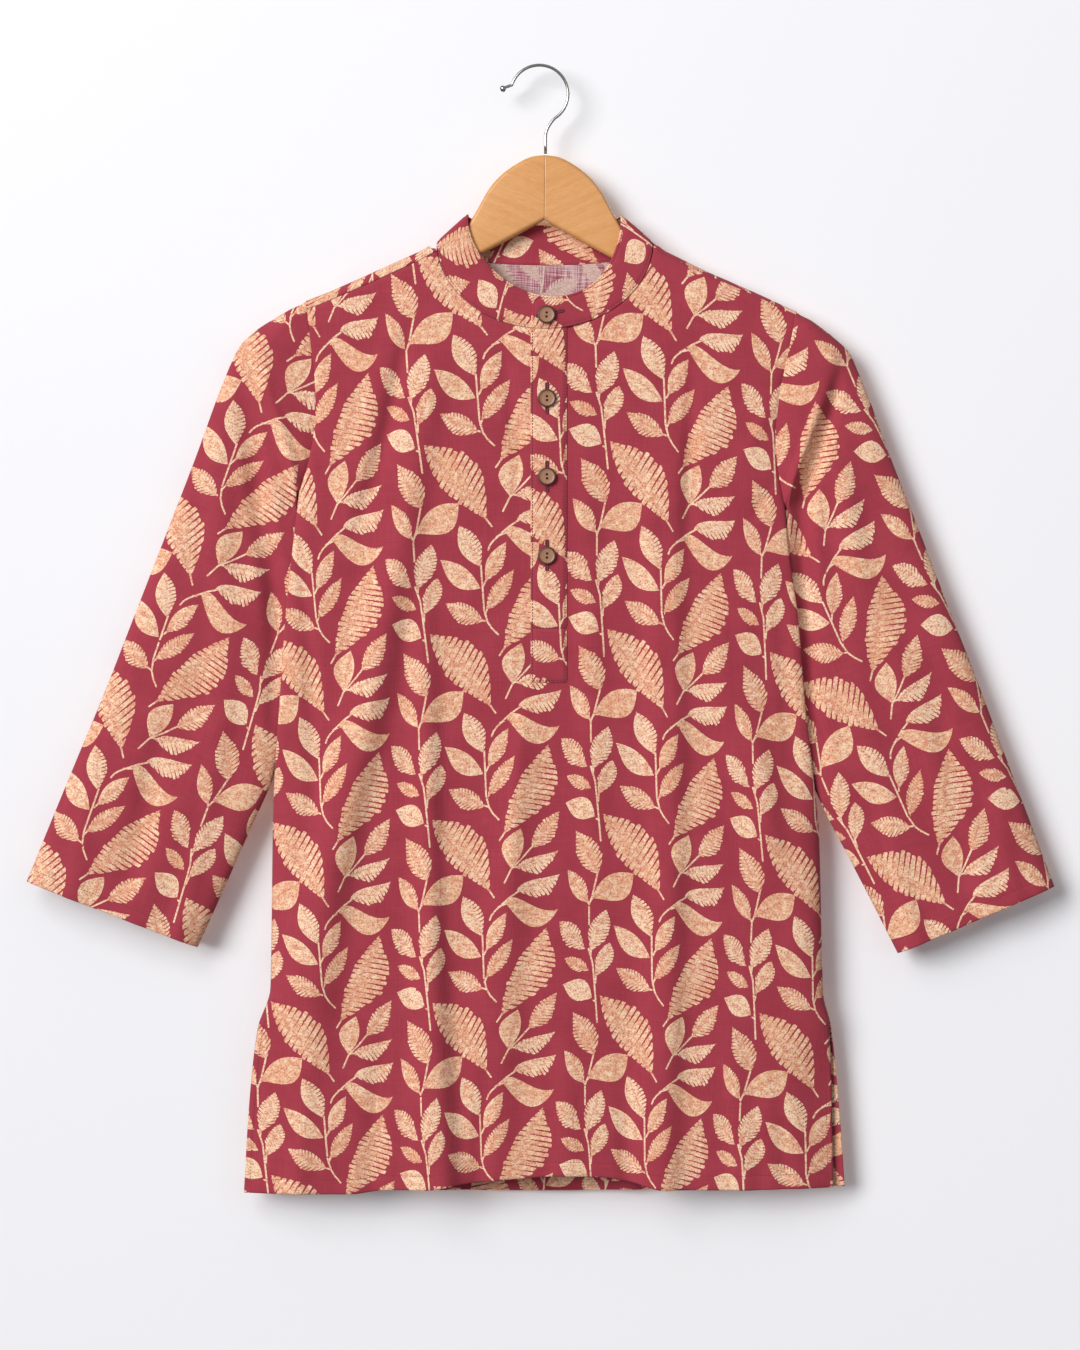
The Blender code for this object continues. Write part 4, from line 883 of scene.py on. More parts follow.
# The wrong side: the dye has not gone through evenly, so both colours are paler.
cotton_wrong = cotton("slub_cotton_wrong_side",
                      (WRONG_GROUND, WRONG_DEEP, WRONG_LEAF, WRONG_TAN, WRONG_GROUND),
                      0.85, 2.6, 0.5)


def hem_lift(height, stitch):
    """Extra thickness of a turned edge, pulled in along its row of stitches."""
    lift = 0.5 / (1 + np.exp((height - stitch - 0.6) * 2))
    groove = 0.45 * np.exp(-((height - stitch) / 1.1) ** 2)
    return lift - groove - 0.35 * np.exp(-height / 0.7)


def add_sheet(name, mesh, node, thickness=CLOTH):
    """Finish a cloth piece: its print, its thickness, with the wrong side's own material
    inside, and its place in the frame."""
    stamp_print(mesh)
    for cloth in (cotton_right, cotton_wrong, cotton_right, cotton_right):
        mesh.materials.append(cloth)
    piece = place_object(name, mesh)
    wall = piece.modifiers.new("cloth", "SOLIDIFY")
    wall.thickness = thickness * MM
    wall.offset = -1
    wall.use_rim = True
    wall.material_offset = 1
    wall.material_offset_rim = 0
    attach(piece, "root")
    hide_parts(node)


FRONT_MIDDLE = [-8.5, -4.5, -0.5, 3.5, 7.4, 8.4, 12.4, 16.4, 20.4, 24.3]
HEM_STITCH = 13
HEM_TURN = 15
SLIT_STITCH = 5
SLIT_TURN = 10
SLIT_FOOT_ROW = 11          # the centre slit starts so many rows above the placket's foot
SLIT_TOP = {"right": -836, "left": -842}


def finish_edges(points, panel):
    """Turn the hem and the slits, and roll the seam edges inwards. Columns, rows."""
    outward = -1 if panel == "front" else 1
    height = points[:, :, 2] - points[:, :1, 2]
    lift = hem_lift(height, HEM_STITCH)
    for side in ("right", "left"):
        edge = edge_x(side, points[:, :, 2], panel)
        inset = (points[:, :, 0] - edge) * -SIGN[side]
        split = 1 / (1 + np.exp((points[:, :, 2] - SLIT_TOP[side]) / 4))
        inset = np.maximum(inset, 0)
        own = np.where(inset < 20, hem_lift(inset, SLIT_STITCH) * split, 0)
        lift = np.where(height > 16, lift + own, np.maximum(lift, own))
        lift -= 0.6 * np.exp(-inset / 0.9) * (1 - split)
    points[:, :, 1] += outward * lift
    return points


def show_turnings(mesh, panel, hem):
    """Inside a turned hem or slit the right side of the cloth shows, so it has its own slots."""
    for face in mesh.polygons:
        x, z = face.center.x / MM, face.center.z / MM
        side = "right" if x < NECK_CENTRE else "left"
        inset = abs(x - float(edge_x(side, np.array(z), panel)))
        in_slit = z < SLIT_TOP[side] - 4 and inset < SLIT_TURN
        if in_slit or z < float(read(hem, x, 1)) + HEM_TURN:
            face.material_index = 2


right_half, left_half = front_half("right"), front_half("left")
middle = upright_columns(FRONT_MIDDLE, FRONT_ZONES)
front_points = np.concatenate([right_half, middle, left_half[::-1]], axis=0)
front_place = front_flat(front_points[:, :, 0], front_points[:, :, 2])
front_points = finish_edges(front_points, "front")
for row, tuck in ((-1, 0.9), (-2, 0.35)):
    front_points[:, row, 1] += tuck
slit_column = len(right_half) + FRONT_MIDDLE.index(SLIT_X[0])
slit_row = len(HEM_ROWS) + SLIT_FOOT_ROW
slit_cells = {(slit_column, row) for row in range(slit_row, front_points.shape[1] - 1)}
front_mesh = cloth_mesh("front_panel", front_points, front_place, cut=slit_cells)
show_turnings(front_mesh, "front", FRONT_HEM)
add_sheet("front_panel", front_mesh, "front")

# ---- Placket ----
# Two strips of the same cotton, cut separately, so their leaves don't meet the front's. The
# upper one is folded, edge stitched and closed at the foot with a stitched box.
PLACKET_LIFT = 1.5
PLACKET_WALL = 1.2
PLACKET_STITCH = 1.8
BOX_TOP = -507.4
PLACKET_PRINT = (-40.5, -463)
PLACKET_PLACES = [-8.5, -8.15, -7.5, -6.9, -6.2, -5.5, -3, 0.5, 4, 7.9, 12, 16, 19.5,
                  21.3, 22, 22.7, 23.3, 23.95, 24.3]
UNDER_PLACES = [-8.3, -2, 4, 10, 16, 24.1]
UNDER_PRINT_X = -90


def edge_groove(distance, stitch):
    """A folded edge: rounded over, and pulled in where the stitches run."""
    return -0.95 * np.exp(-distance / 0.6) - 0.6 * np.exp(-((distance - stitch) / 0.9) ** 2)


def placket_y(x, z):
    """Outer side of the upper strip, a little puckered between its rows of stitches."""
    inset = np.minimum(x - PLACKET_X[0], PLACKET_X[1] - x)
    pucker = 0.25 * np.sin(z / 11 + 1.3 * np.sin(z / 37)) * np.clip(inset / 6, 0, 1)
    return -front_depth(x, z) - PLACKET_LIFT - pucker


# Rows lie close together at the foot and at the top of its stitched box.
STRIP_ZONES = (sorted([0, 0.003, 0.008, 0.014, 0.02, 0.03, 0.296, 0.3005, 0.304, 0.3078,
                       0.3145, 0.319] + even(0.05, 1, 40, False)), even(0, 1, 42))
top_points = upright_columns(PLACKET_PLACES, STRIP_ZONES)
strip_x, strip_z = top_points[:, :, 0], top_points[:, :, 2]
top_points[:, :, 1] = placket_y(strip_x, strip_z)
sides = np.minimum(strip_x - PLACKET_X[0], PLACKET_X[1] - strip_x)
top_points[:, :, 1] -= edge_groove(sides, PLACKET_STITCH)
top_points[:, :, 1] -= edge_groove(strip_z - PLACKET_FOOT, PLACKET_STITCH)
top_points[:, :, 1] += np.exp(-((strip_z - BOX_TOP) / 1.3) ** 2)
top_place = np.stack([strip_x - PLACKET_PRINT[0], PLACKET_PRINT[1] - strip_z], axis=-1)
add_sheet("placket_upper", cloth_mesh("placket_upper", top_points, top_place),
          "placket_top", PLACKET_WALL)
under_points = upright_columns(UNDER_PLACES, STRIP_ZONES, CLOTH + 0.5)
under_place = np.stack([under_points[:, :, 0] - UNDER_PRINT_X, -under_points[:, :, 2]], axis=-1)
add_sheet("placket_under_strip",
          cloth_mesh("placket_under_strip", under_points, under_place),
          "placket_under", PLACKET_WALL)

# ---- Back panel ----
# One piece of the same cotton. It comes over the hanger to the shoulder seams, which lie a
# little to the front, and hangs in three soft folds. It is a little wider at the slits.
BACK_HEM = ((-268, -1016), (0, -1016.5), (276, -1011))
BACK_FOLDS = (
    ((-1016, -142, 44, 36, 7), (-760, -130, 40, 32, 4), (-430, -116, 36, 30, 0)),
    ((-1016, 16, 40, 44, 5.5), (-800, 12, 38, 40, 3), (-520, 8, 34, 36, 0)),
    ((-1012, 150, 34, 46, 7), (-700, 132, 32, 40, 4.5), (-380, 118, 30, 34, 0)),
)
BACK_CREASES = (
    ((-150, -240, 12, 0), (-138, -320, 14, 2.2), (-132, -430, 16, 1.4), (-130, -520, 16, 0)),
    ((-96, -250, 10, 0), (-88, -330, 12, -2.1), (-84, -440, 13, -1.4), (-80, -560, 13, 0)),
    ((70, -230, 12, 0), (78, -330, 14, 2.1), (84, -460, 15, 1.7), (88, -600, 15, 0)),
    ((165, -260, 9, 0), (158, -340, 11, -2.4), (160, -450, 12, 0)),
    ((-205, -330, 7, 0), (-180, -372, 10, -2.1), (-150, -430, 11, 0)),
    ((208, -340, 7, 0), (184, -386, 10, -2), (160, -452, 11, 0)),
    ((-60, -640, 14, 0), (-58, -760, 16, 2.2), (-64, -900, 18, 2.5), (-66, -1016, 18, 3.4)),
    ((84, -700, 12, 0), (86, -840, 14, -2.2), (82, -1014, 16, -3.4)),
    ((-200, -720, 12, 0), (-204, -860, 14, 2.1), (-212, -1016, 16, 2.8)),
    ((206, -640, 12, 0), (212, -780, 14, -2.1), (222, -1012, 16, -3.1)),
)
BACK_WAVES = ((91, 0.34, 8, 2.4), (61, 0.24, -34, 0.3), (37, 0.14, 58, 4.4),
              (29, 0.11, -80, 1.2), (126, 0.4, 86, 3.7))
# Angle of a column's end on the neck seam, and where and how far below it leaves the back.
BACK_NECK = ((88, 1.035, 9), (97, 0.965, 6), (112, 0.85, 6), (130, 0.68, 8),
             (154, 0.36, 10), (180, 0, 12))
BACK_MIDDLE_Z = -640
BACK_PRINT = (62, 38)
WRAP_STEPS = even(0, 0.9, 20) + [0.93, 0.955, 0.975, 0.99, 1]
BACK_LOW_ROWS = [0, 0.0035, 0.0095, 0.0225, 0.0315, 0.035, 0.0385, 0.049] + even(
    0.062, 1, 72, False)


def back_depth(x, z):
    return panel_depth(x, z, "back", BACK_FOLDS, BACK_CREASES, BACK_WAVES)


def turn_at(drop):
    """Turn to the back at which a place lies so far below the top of the shoulder."""
    level = np.clip(1 - drop / SHOULDER_ROUND, -1, 1)
    return np.where(drop <= SHOULDER_ROUND, np.degrees(np.arccos(level)),
                    90 + (drop - SHOULDER_ROUND) / 0.1)


def wrap_point(x, turn):
    """Over the shoulder, with the back's own depth once it hangs straight."""
    points = over_shoulder(x, turn)
    behind = turn > 90
    points[..., 1] = np.where(behind, back_depth(points[..., 0], points[..., 2]), points[..., 1])
    return points


def back_wrap(side, shares):
    """Last stretch of each column, rows first: over the shoulder or up to the neck."""
    corner_angle = NECK_CORNER_ANGLE[side]
    corner = neck_seam(SIGN[side] * corner_angle, back_depth)
    knots = np.linspace(NECK_SHARE, 1, len(BACK_NECK))
    table = np.array(((corner_angle, *BACK_NECK[0][1:]), *BACK_NECK[1:]))
    angle, start_share, start_drop = [np.interp(shares, knots, table[:, column])
                                      for column in range(3)]
    neck_end = neck_seam(SIGN[side] * angle, back_depth)
    start_x = NECK_CENTRE + SIGN[side] * NECK_HALF * start_share
    end_drop = NECK_SIDE_Z - neck_end[:, 2]
    shoulder_x = between(ARMHOLE[side][0], corner[0], np.minimum(shares / NECK_SHARE, 1))
    spread = SIGN[side] * 9 * np.clip((shares / NECK_SHARE - 0.82) / 0.18, 0, 1)
    seam_turn = SHOULDER_SEAM_TURN[side]
    shoulder = (shares <= NECK_SHARE)[:, None]
    rows = []
    for step in WRAP_STEPS:
        over = wrap_point(shoulder_x + spread * (1 - step ** 4),
                          between(105, seam_turn, step) + 0 * shares)
        to_neck = wrap_point(between(start_x, neck_end[:, 0], step),
                             between(turn_at(end_drop + start_drop), turn_at(end_drop), step))
        rows.append(np.where(shoulder, over, to_neck))
    return rows


def back_half(side):
    shares = np.array(SIDE_SHARES + even(NECK_SHARE, 1, 26)[1:])
    wrap = back_wrap(side, shares)
    middle_x = between(float(edge_x(side, np.array(-1016), "back")), NECK_CENTRE, shares)
    levels = (read(BACK_HEM, middle_x, 1), BACK_MIDDLE_Z + 0 * shares,
              underarm_level(side, shares), wrap[0][:, 2])

    def x_at(z, zone, step):
        x = between(edge_x(side, z, "back"), NECK_CENTRE, shares)
        return between(x, wrap[0][:, 0], step * step) if zone == 2 else x

    zones = (BACK_LOW_ROWS, even(0, 1, 48, False), even(0, 1, 40, False))
    return np.stack(rows_between(levels, zones, x_at, back_depth) + wrap, axis=1)


back_right, back_left = back_half("right"), back_half("left")
back_points = np.concatenate([back_right, back_left[:-1][::-1]], axis=0)
# Its print runs down the back and on over the shoulders.
fallen = np.linalg.norm(np.diff(back_points, axis=1), axis=2)
down = back_points[:, 0, 2][:, None] + np.concatenate(
    [np.zeros((len(back_points), 1)), np.cumsum(fallen, axis=1)], axis=1)
back_place = np.stack([BACK_PRINT[0] - back_points[:, :, 0], BACK_PRINT[1] - down], axis=-1)
back_points = finish_edges(back_points, "back")
for row, tuck in ((-1, 0.8), (-2, 0.3)):
    back_points[:, row, 2] -= tuck
back_mesh = cloth_mesh("back_panel", back_points, back_place, flip=True)
show_turnings(back_mesh, "back", BACK_HEM)
add_sheet("back_panel", back_mesh, "back")

# ---- Sleeves ----
# Each is one piece closed along the underarm, set into the armhole, hanging flat with its
# cuff turned under. Both lie partly behind the body's rolled side seams.
# Rows of: outer fold x, z, inner fold x, z, depth in front and behind, rounding at the
# outer and the inner fold. The first is the armhole and the last the cuff.
SLEEVE_RINGS = {
    "right": (
        (-210.8, -211, -217, -384, 9, 8, 8, 8),
        (-229.5, -221.5, -217.6, -386.5, 11, 8.5, 12, 10),
        (-257.5, -239, -218.3, -390, 12.5, 9, 25, 20),
        (-270, -251, -216.5, -404, 8.6, 8, 30, 20),
        (-278, -266, -212, -432, 8, 7.6, 30, 20),
        (-290, -295, -212, -468, 8.2, 7.6, 28, 22),
        (-310.5, -351.5, -214.5, -513, 8.4, 7.8, 26, 24),
        (-336.5, -419, -220, -558, 8.8, 8.2, 26, 24),
        (-364.5, -491, -229, -603, 10, 9, 26, 24),
        (-393.5, -565.5, -240, -640, 10.6, 10, 26, 24),
        (-417, -622, -263, -692, 11, 10.5, 26, 24),
        (-440.5, -679, -286, -744, 11.5, 11, 26, 24),
        (-463.5, -735.5, -309, -795, 12, 11.5, 26, 24),
    ),
    "left": (
        (231.2, -220.8, 220.5, -397, 9, 8, 8, 8),
        (247.5, -231, 221.3, -399.5, 11, 8.5, 12, 10),
        (268, -247, 221.8, -402, 12.5, 9, 25, 20),
        (279, -258, 219, -417, 8.6, 8, 30, 20),
        (287, -275, 214, -446, 8, 7.6, 30, 20),
        (298, -302, 216, -482, 8.2, 7.6, 28, 22),
        (317, -354, 222.5, -531, 8.4, 7.8, 26, 24),
        (341, -415, 230, -581, 8.8, 8.2, 26, 24),
        (366.5, -482, 240, -630, 10, 9, 26, 24),
        (389.5, -540.5, 256, -670, 10.6, 10, 26, 24),
        (414.5, -607, 278.5, -713.5, 11, 10.5, 26, 24),
        (439.5, -673.5, 301, -757, 11.5, 11, 26, 24),
        (464.5, -740, 323, -800.5, 12, 11.5, 26, 24),
    ),
}
SLEEVE_CAP_ROWS = 3
# Place across the sleeve from its outer fold, half width, height at the elbow and the cuff.
SLEEVE_FOLDS = {"right": ((0.30, 0.14, 2.4, 1), (0.62, 0.13, 1.4, 2.6)),
                "left": ((0.38, 0.13, 1.8, 2.8), (0.66, 0.12, 2.4, 1.4))}
SLEEVE_CREASES = {
    "right": (
        # The cap's edge lies over the arm and throws a shadow down its length.
        ((-246, -262, 9, 0), (-248, -294, 10, 2.4), (-234, -330, 10, 3.3), (-221, -372, 9, 2.4)),
        ((-268, -276, 12, 0), (-262, -330, 14, -4.2), (-248, -425, 15, -6), (-238, -485, 14, -6.2),
         (-238, -545, 13, -5.6), (-239, -600, 11, -3.5), (-242, -650, 10, 0)),
        ((-286, -280, 14, 0), (-292, -400, 18, 3), (-284, -500, 20, 3), (-296, -640, 20, 0)),
        ((-330, -560, 12, 0), (-350, -640, 14, -2.7), (-368, -730, 16, -3.3)),
        ((-398, -620, 12, 0), (-412, -700, 14, 2.4), (-424, -752, 16, 3)),
        ((-280, -560, 10, 0), (-292, -640, 12, 2.1), (-316, -740, 14, 2.4), (-326, -796, 14, 3.3)),
    ),
    "left": (
        ((262, -284, 9, 0), (252, -309, 9, 2.7), (243, -336, 9, 3.3), (232, -364, 8, 2.7),
         (222, -392, 7, 1.5)),
        ((271, -275, 8, 0), (263, -310, 10, -4), (251, -345, 12, -6.4), (237, -392, 13, -7.4),
         (237, -440, 13, -7.2), (240, -500, 13, -7.2), (245, -570, 12, -6.6), (253, -640, 11, -5.2),
         (260, -700, 10, -2.4), (264, -745, 9, 0)),
        ((274, -300, 13, 0), (279, -430, 18, 3.3), (290, -540, 20, 2.7), (304, -640, 20, 0)),
        ((352, -520, 12, 0), (366, -620, 15, -2.7), (384, -730, 16, -3.6)),
        ((404, -640, 11, 0), (418, -710, 13, 2.4), (428, -758, 15, 3.3)),
        ((300, -620, 10, 0), (318, -700, 12, 2.4), (340, -796, 14, 3)),
    ),
}
SLEEVE_WAVES = ((71, 0.3, 30, 0.9), (47, 0.22, -40, 2.6), (33, 0.13, 80, 4.1))
SLEEVE_AROUND = 84
SLEEVE_ALONG = even(0, 0.06, 3) + [0.1, 0.2, 0.4, 0.6] + even(0.8, 11.55, 92) + [
    11.7, 11.78, 11.82, 11.86, 11.94, 11.98, 12]
SLEEVE_PRINT = {"right": (26.8, 106.2), "left": (6.6, 149)}
CUFF_STITCH = 12


def sleeve_points(side):
    """Points round and along a sleeve, from the underarm seam behind and back in front."""
    along = np.array(SLEEVE_ALONG)[None, :]
    rows = np.array(SLEEVE_RINGS[side])
    table = np.column_stack([np.arange(len(rows)), rows])
    out_x, out_z, in_x, in_z, front, back, round_out, round_in = [
        read(table, along, column + 1) for column in range(8)]
    turn = np.linspace(math.pi, 3 * math.pi, SLEEVE_AROUND + 1)[:, None]
    share = 0.5 - 0.5 * np.cos(turn)
    facing = np.where(turn <= 2 * math.pi, 1, -1)
    length = np.hypot(in_x - out_x, in_z - out_z)
    depth = np.where(facing < 0, front, back) * quarter_round(share * length / round_out)
    depth = depth * quarter_round((1 - share) * length / round_in)
    bow_share = np.maximum(1 - along / SLEEVE_CAP_ROWS, 0)
    bow = -SIGN[side] * ARMHOLE_BOW * np.sin(math.pi * np.clip(share, 0, 1) ** 1.3)
    x = between(out_x, in_x, share) + bow * bow_share
    z = between(out_z, in_z, share)
    below_cap = np.clip((along - SLEEVE_CAP_ROWS) / 3, 0, 1)
    soft = np.clip(np.minimum(share, 1 - share) * length / 22, 0, 1)
    for centre, width, elbow, cuff in SLEEVE_FOLDS[side]:
        swell = np.clip(1 - ((share - centre) / width) ** 2, 0, 1) ** 2
        depth = depth + between(elbow, cuff, along / 12) * swell * below_cap * soft
    shaped = np.where(facing < 0, crease_height(SLEEVE_CREASES[side], x, z), 0)
    shaped = shaped + waves(SLEEVE_WAVES, x * facing, z)
    calm = soft * np.clip(along / 0.8, 0, 1)
    y = facing * (depth + shaped * calm)
    # The seam: the first rows follow the panels' edges and turn in under them.
    panel = np.where(facing < 0, edge_depth(side, z, "front"), edge_depth(side, z, "back"))
    hold = np.where(share < 0.99, np.clip(1 - along / 0.8, 0, 1) ** 1.5, 0)
    tuck = 1.2 * np.clip(1 - along / 0.1, 0, 1) ** 2
    x = between(x, armhole_x(side, z) - SIGN[side] * tuck, hold)
    y = between(y, facing * np.maximum(panel - tuck, 0), hold)
    return np.stack([x, y, z + 0 * y], axis=-1)


sleeve_grids = {}
for side in ("right", "left"):
    points = sleeve_points(side)
    down = np.cumsum(np.linalg.norm(np.diff(points, axis=1), axis=2), axis=1)
    down = np.concatenate([np.zeros((len(points), 1)), down], axis=1)
    # The print runs along the outer fold, and on round it to the back.
    last, cap = SLEEVE_RINGS[side][-1], SLEEVE_RINGS[side][SLEEVE_CAP_ROWS]
    fold = Vector((last[0] - cap[0], last[1] - cap[1])).normalized()
    level = points[:, :, 0] * fold.x + points[:, :, 2] * fold.y
    across = (points[:, :, 0] - cap[0]) * -fold.y + (points[:, :, 2] - cap[1]) * fold.x
    # Behind it is turned over, about the fold below the cap and about its straight line above.
    half = SLEEVE_AROUND // 2
    mirror = np.where(np.array(SLEEVE_ALONG) < SLEEVE_CAP_ROWS, 0, across[half])
    across[:half] = 2 * mirror - across[:half]
    shift = SLEEVE_PRINT[side]
    place = np.stack([across + shift[0], level + shift[1]], axis=-1)
    from_cuff = down[:, -1:] - down
    lift = hem_lift(from_cuff, CUFF_STITCH)
    points[:, :, 1] += np.sign(points[:, :, 1]) * lift * np.clip(np.abs(points[:, :, 1]) / 4, 0, 1)
    sleeve_grids[side] = (points, from_cuff)
    name = "sleeve_" + side
    sleeve_mesh = cloth_mesh(name + "_tube", points, place, join=True, flip=side == "right")
    add_sheet(name + "_tube", sleeve_mesh, name)

# ---- Band collar ----
# A standing band of two layers with a stiff lining between, the same print outside and
# inside. Its upper end laps over the other and is rounded; it is edge stitched all round.
BAND_CENTRE = 4
BAND_HALF = 69.8
BAND_SIDE_Z = -133.6
BAND_FRONT_DROP = 74
BAND_BACK_DROP = 8.5
BAND_SKEW = 5
BAND_FRONT_DEPTH = 10.4
BAND_BACK_DEPTH = 9.8
BAND_FLATNESS = 0.12
BAND_END_ROUND = 7.5
BAND_END_GAP = 0.3
BAND_END_LOW = 0.62
LAP_END = 30
LAP_EASE = 14
LAP_LIFT = 1.9
COLLAR_WALL = 1.6
BAND_STITCH = 2.4
BAND_START = neck_angle(PLACKET_X[0] - 0.3)
BAND_END = 360 + neck_angle(PLACKET_X[1]) - BAND_END_GAP
BAND_ROWS = [0, 0.02, 0.05, 0.065, 0.08, 0.11] + even(0.17, 0.83, 12) + [
    0.89, 0.92, 0.935, 0.95, 0.98, 1]


def band_top(angle):
    turn = np.radians(angle)
    facing = np.cos(turn)
    flat = np.maximum(np.abs(facing), 1e-6) ** BAND_FLATNESS
    skew = np.where(facing > 0, BAND_SKEW * np.sin(2 * turn), 0)
    x = BAND_CENTRE + BAND_HALF * np.sin(turn)
    y = np.where(facing >= 0, -BAND_FRONT_DEPTH, BAND_BACK_DEPTH) * flat
    z = BAND_SIDE_Z + np.where(facing >= 0, -BAND_FRONT_DROP, BAND_BACK_DROP) * facing - skew
    return np.stack([x, y, z], axis=-1)


def neck_seam_round(angle):
    """The neck seam, on the front panel in front and on the back panel behind."""
    behind = (np.cos(np.radians(angle)) < 0)[:, None]
    return np.where(behind, neck_seam(angle, back_depth), neck_seam(angle, front_depth))


def band_outward(angle):
    turn = np.radians(angle)
    return np.stack([0.25 * np.sin(turn), -np.cos(turn), 0 * turn], axis=-1)


def band_columns(angle):
    outward = LAP_LIFT * np.clip((LAP_END - angle) / LAP_EASE, 0, 1)
    seam, top = neck_seam_round(angle), band_top(angle)
    rise = (top - seam) / np.linalg.norm(top - seam, axis=1)[:, None]
    foot = seam - rise * 0.6
    # The foot lies just proud of the panels it is sewn over.
    behind = np.where(np.cos(np.radians(angle)) < 0, 1, -1)
    foot[:, 1] += behind * 0.9
    foot[:, 1] -= outward
    top[:, 1] -= outward
    height = between(BAND_END_LOW, 1, quarter_round((angle - BAND_START) / BAND_END_ROUND))
    share = np.array(BAND_ROWS)[None, :] * height[:, None]
    points = between(foot[:, None, :], top[:, None, :], share[:, :, None])
    # Rounded long edges, a groove along each row of stitches, a slight swell between.
    tall = np.linalg.norm(top - foot, axis=1)[:, None]
    from_edge = np.minimum(share, height[:, None] - share) * tall
    from_end = np.minimum(angle - BAND_START, BAND_END - angle)[:, None] * 1.6
    groove = edge_groove(np.minimum(from_edge, from_end), BAND_STITCH)
    swell = 0.35 * np.sin(math.pi * share / height[:, None])
    ripple = 0.22 * np.sin(angle / 9 + 2 * np.sin(angle / 23))[:, None]
    out = band_outward(angle)
    out /= np.linalg.norm(out, axis=1)[:, None]
    push = groove + swell + ripple * np.sin(math.pi * share)
    return points + out[:, None, :] * push[:, :, None]


band_angle = np.array([BAND_START + step for step in (0, 0.2, 0.5, 0.9, 1.4, 2)]
                      + even(BAND_START + 2.8, BAND_END - 2.4, 300)
                      + [BAND_END - step for step in (1.6, 1.1, 0.6, 0.2, 0)])
band_points = band_columns(band_angle)
band_run = np.concatenate([[0], np.cumsum(np.linalg.norm(
    np.diff(band_points[:, 8], axis=0), axis=1))])
band_rise = np.concatenate([np.zeros((len(band_angle), 1)), np.cumsum(np.linalg.norm(
    np.diff(band_points, axis=1), axis=2), axis=1)], axis=1)
band_place = np.stack([band_run[:, None] + 22 + 0 * band_rise, 96 - band_rise], axis=-1)
band_mesh = cloth_mesh("collar_band_folded", band_points, band_place)
add_sheet("collar_band_folded", band_mesh, "collar_band", COLLAR_WALL)
band_mesh.materials[1] = cotton_right

# ---- Buttons ----
# Turned from wood and stained: dished, with a rounded rim and two drilled holes. Each is
# sewn on with a few turns of thread from hole to hole.
BUTTON_X = 6.3
BUTTON_HEIGHTS = (-225.4, -300.5, -371, -442)
BUTTON_RADIUS = 8.25
HOLES_APART = 3.6
DRILL_RADIUS = 1.15
RIM_SHARE = 0.78            # share of the radius where the darker rim starts
# Each button was sewn on with its own small turn and tilt, in degrees.
BUTTON_TURNS = (-6, 2, 5, -3)
BUTTON_TILTS = (2, 1, -1.5, 1.5)
# Share of the radius, height above the seat.
BUTTON_PROFILE = ((0, 0), (0.80, 0), (0.90, 0.25), (0.97, 0.9), (1, 1.6), (0.99, 2.1),
                  (0.955, 2.6), (0.90, 2.9), (0.84, 3), (0.79, 2.85), (0.74, 2.58),
                  (0.66, 2.42), (0.50, 2.32), (0.25, 2.25), (0, 2.22))


def two_tones(tree, first, share, second, less, dark, light):
    """Wood's dark and light parts, mixed by a share of one pattern and by another."""
    mix = add_node(tree, "ShaderNodeMath", {0: first, 1: share, 2: second},
                   operation="MULTIPLY_ADD").outputs[0]
    mix = add_node(tree, "ShaderNodeMath", {0: mix, 1: less}, operation="SUBTRACT").outputs[0]
    return add_node(tree, "ShaderNodeMix", {0: mix, 6: colour(dark), 7: colour(light)},
                    data_type="RGBA").outputs[2]


def turned_wood(name, dark, light):
    """Stained wood, end grain outward: faint rings and short dark pores under a satin wax."""
    made, tree, output = new_material(name)
    place = add_node(tree, "ShaderNodeTexCoord").outputs["Object"]
    rings = add_node(tree, "ShaderNodeTexWave",
                     {"Vector": place, "Scale": 260, "Distortion": 5, "Detail": 3,
                      "Detail Scale": 1.4}, wave_type="BANDS", bands_direction="X").outputs[0]
    pores = add_node(tree, "ShaderNodeMapping", {"Vector": place, "Scale": (2600, 600, 600)})
    pores = add_node(tree, "ShaderNodeTexNoise", {"Vector": pores.outputs[0], "Scale": 1,
                                                  "Detail": 3}).outputs[0]
    tone = two_tones(tree, rings, 0.35, pores, 0.2, dark, light)
    finish_material(tree, output, {"Base Color": tone, "Roughness": 0.42, "IOR": 1.5},
                    (pores, 0.3, 0.0002))
    return made


BUTTON_WOOD = turned_wood("stained_button_wood", "865942", "B98B6B")
# The rim is a darker tint of the same wood.
BUTTON_RIM = turned_wood("dark_button_rim", "40221A", "6A4233")


def close_rings(shape, rings):
    """Join rings of edges into one closed skin that faces outwards."""
    for lower, upper in zip(rings, rings[1:]):
        bmesh.ops.bridge_loops(shape, edges=lower + upper)
    for ring in (rings[0], rings[-1]):
        bmesh.ops.contextual_create(shape, geom=ring)
    bmesh.ops.recalc_face_normals(shape, faces=shape.faces[:])


def edges_of(verts):
    return list({edge for vert in verts for edge in vert.link_edges})


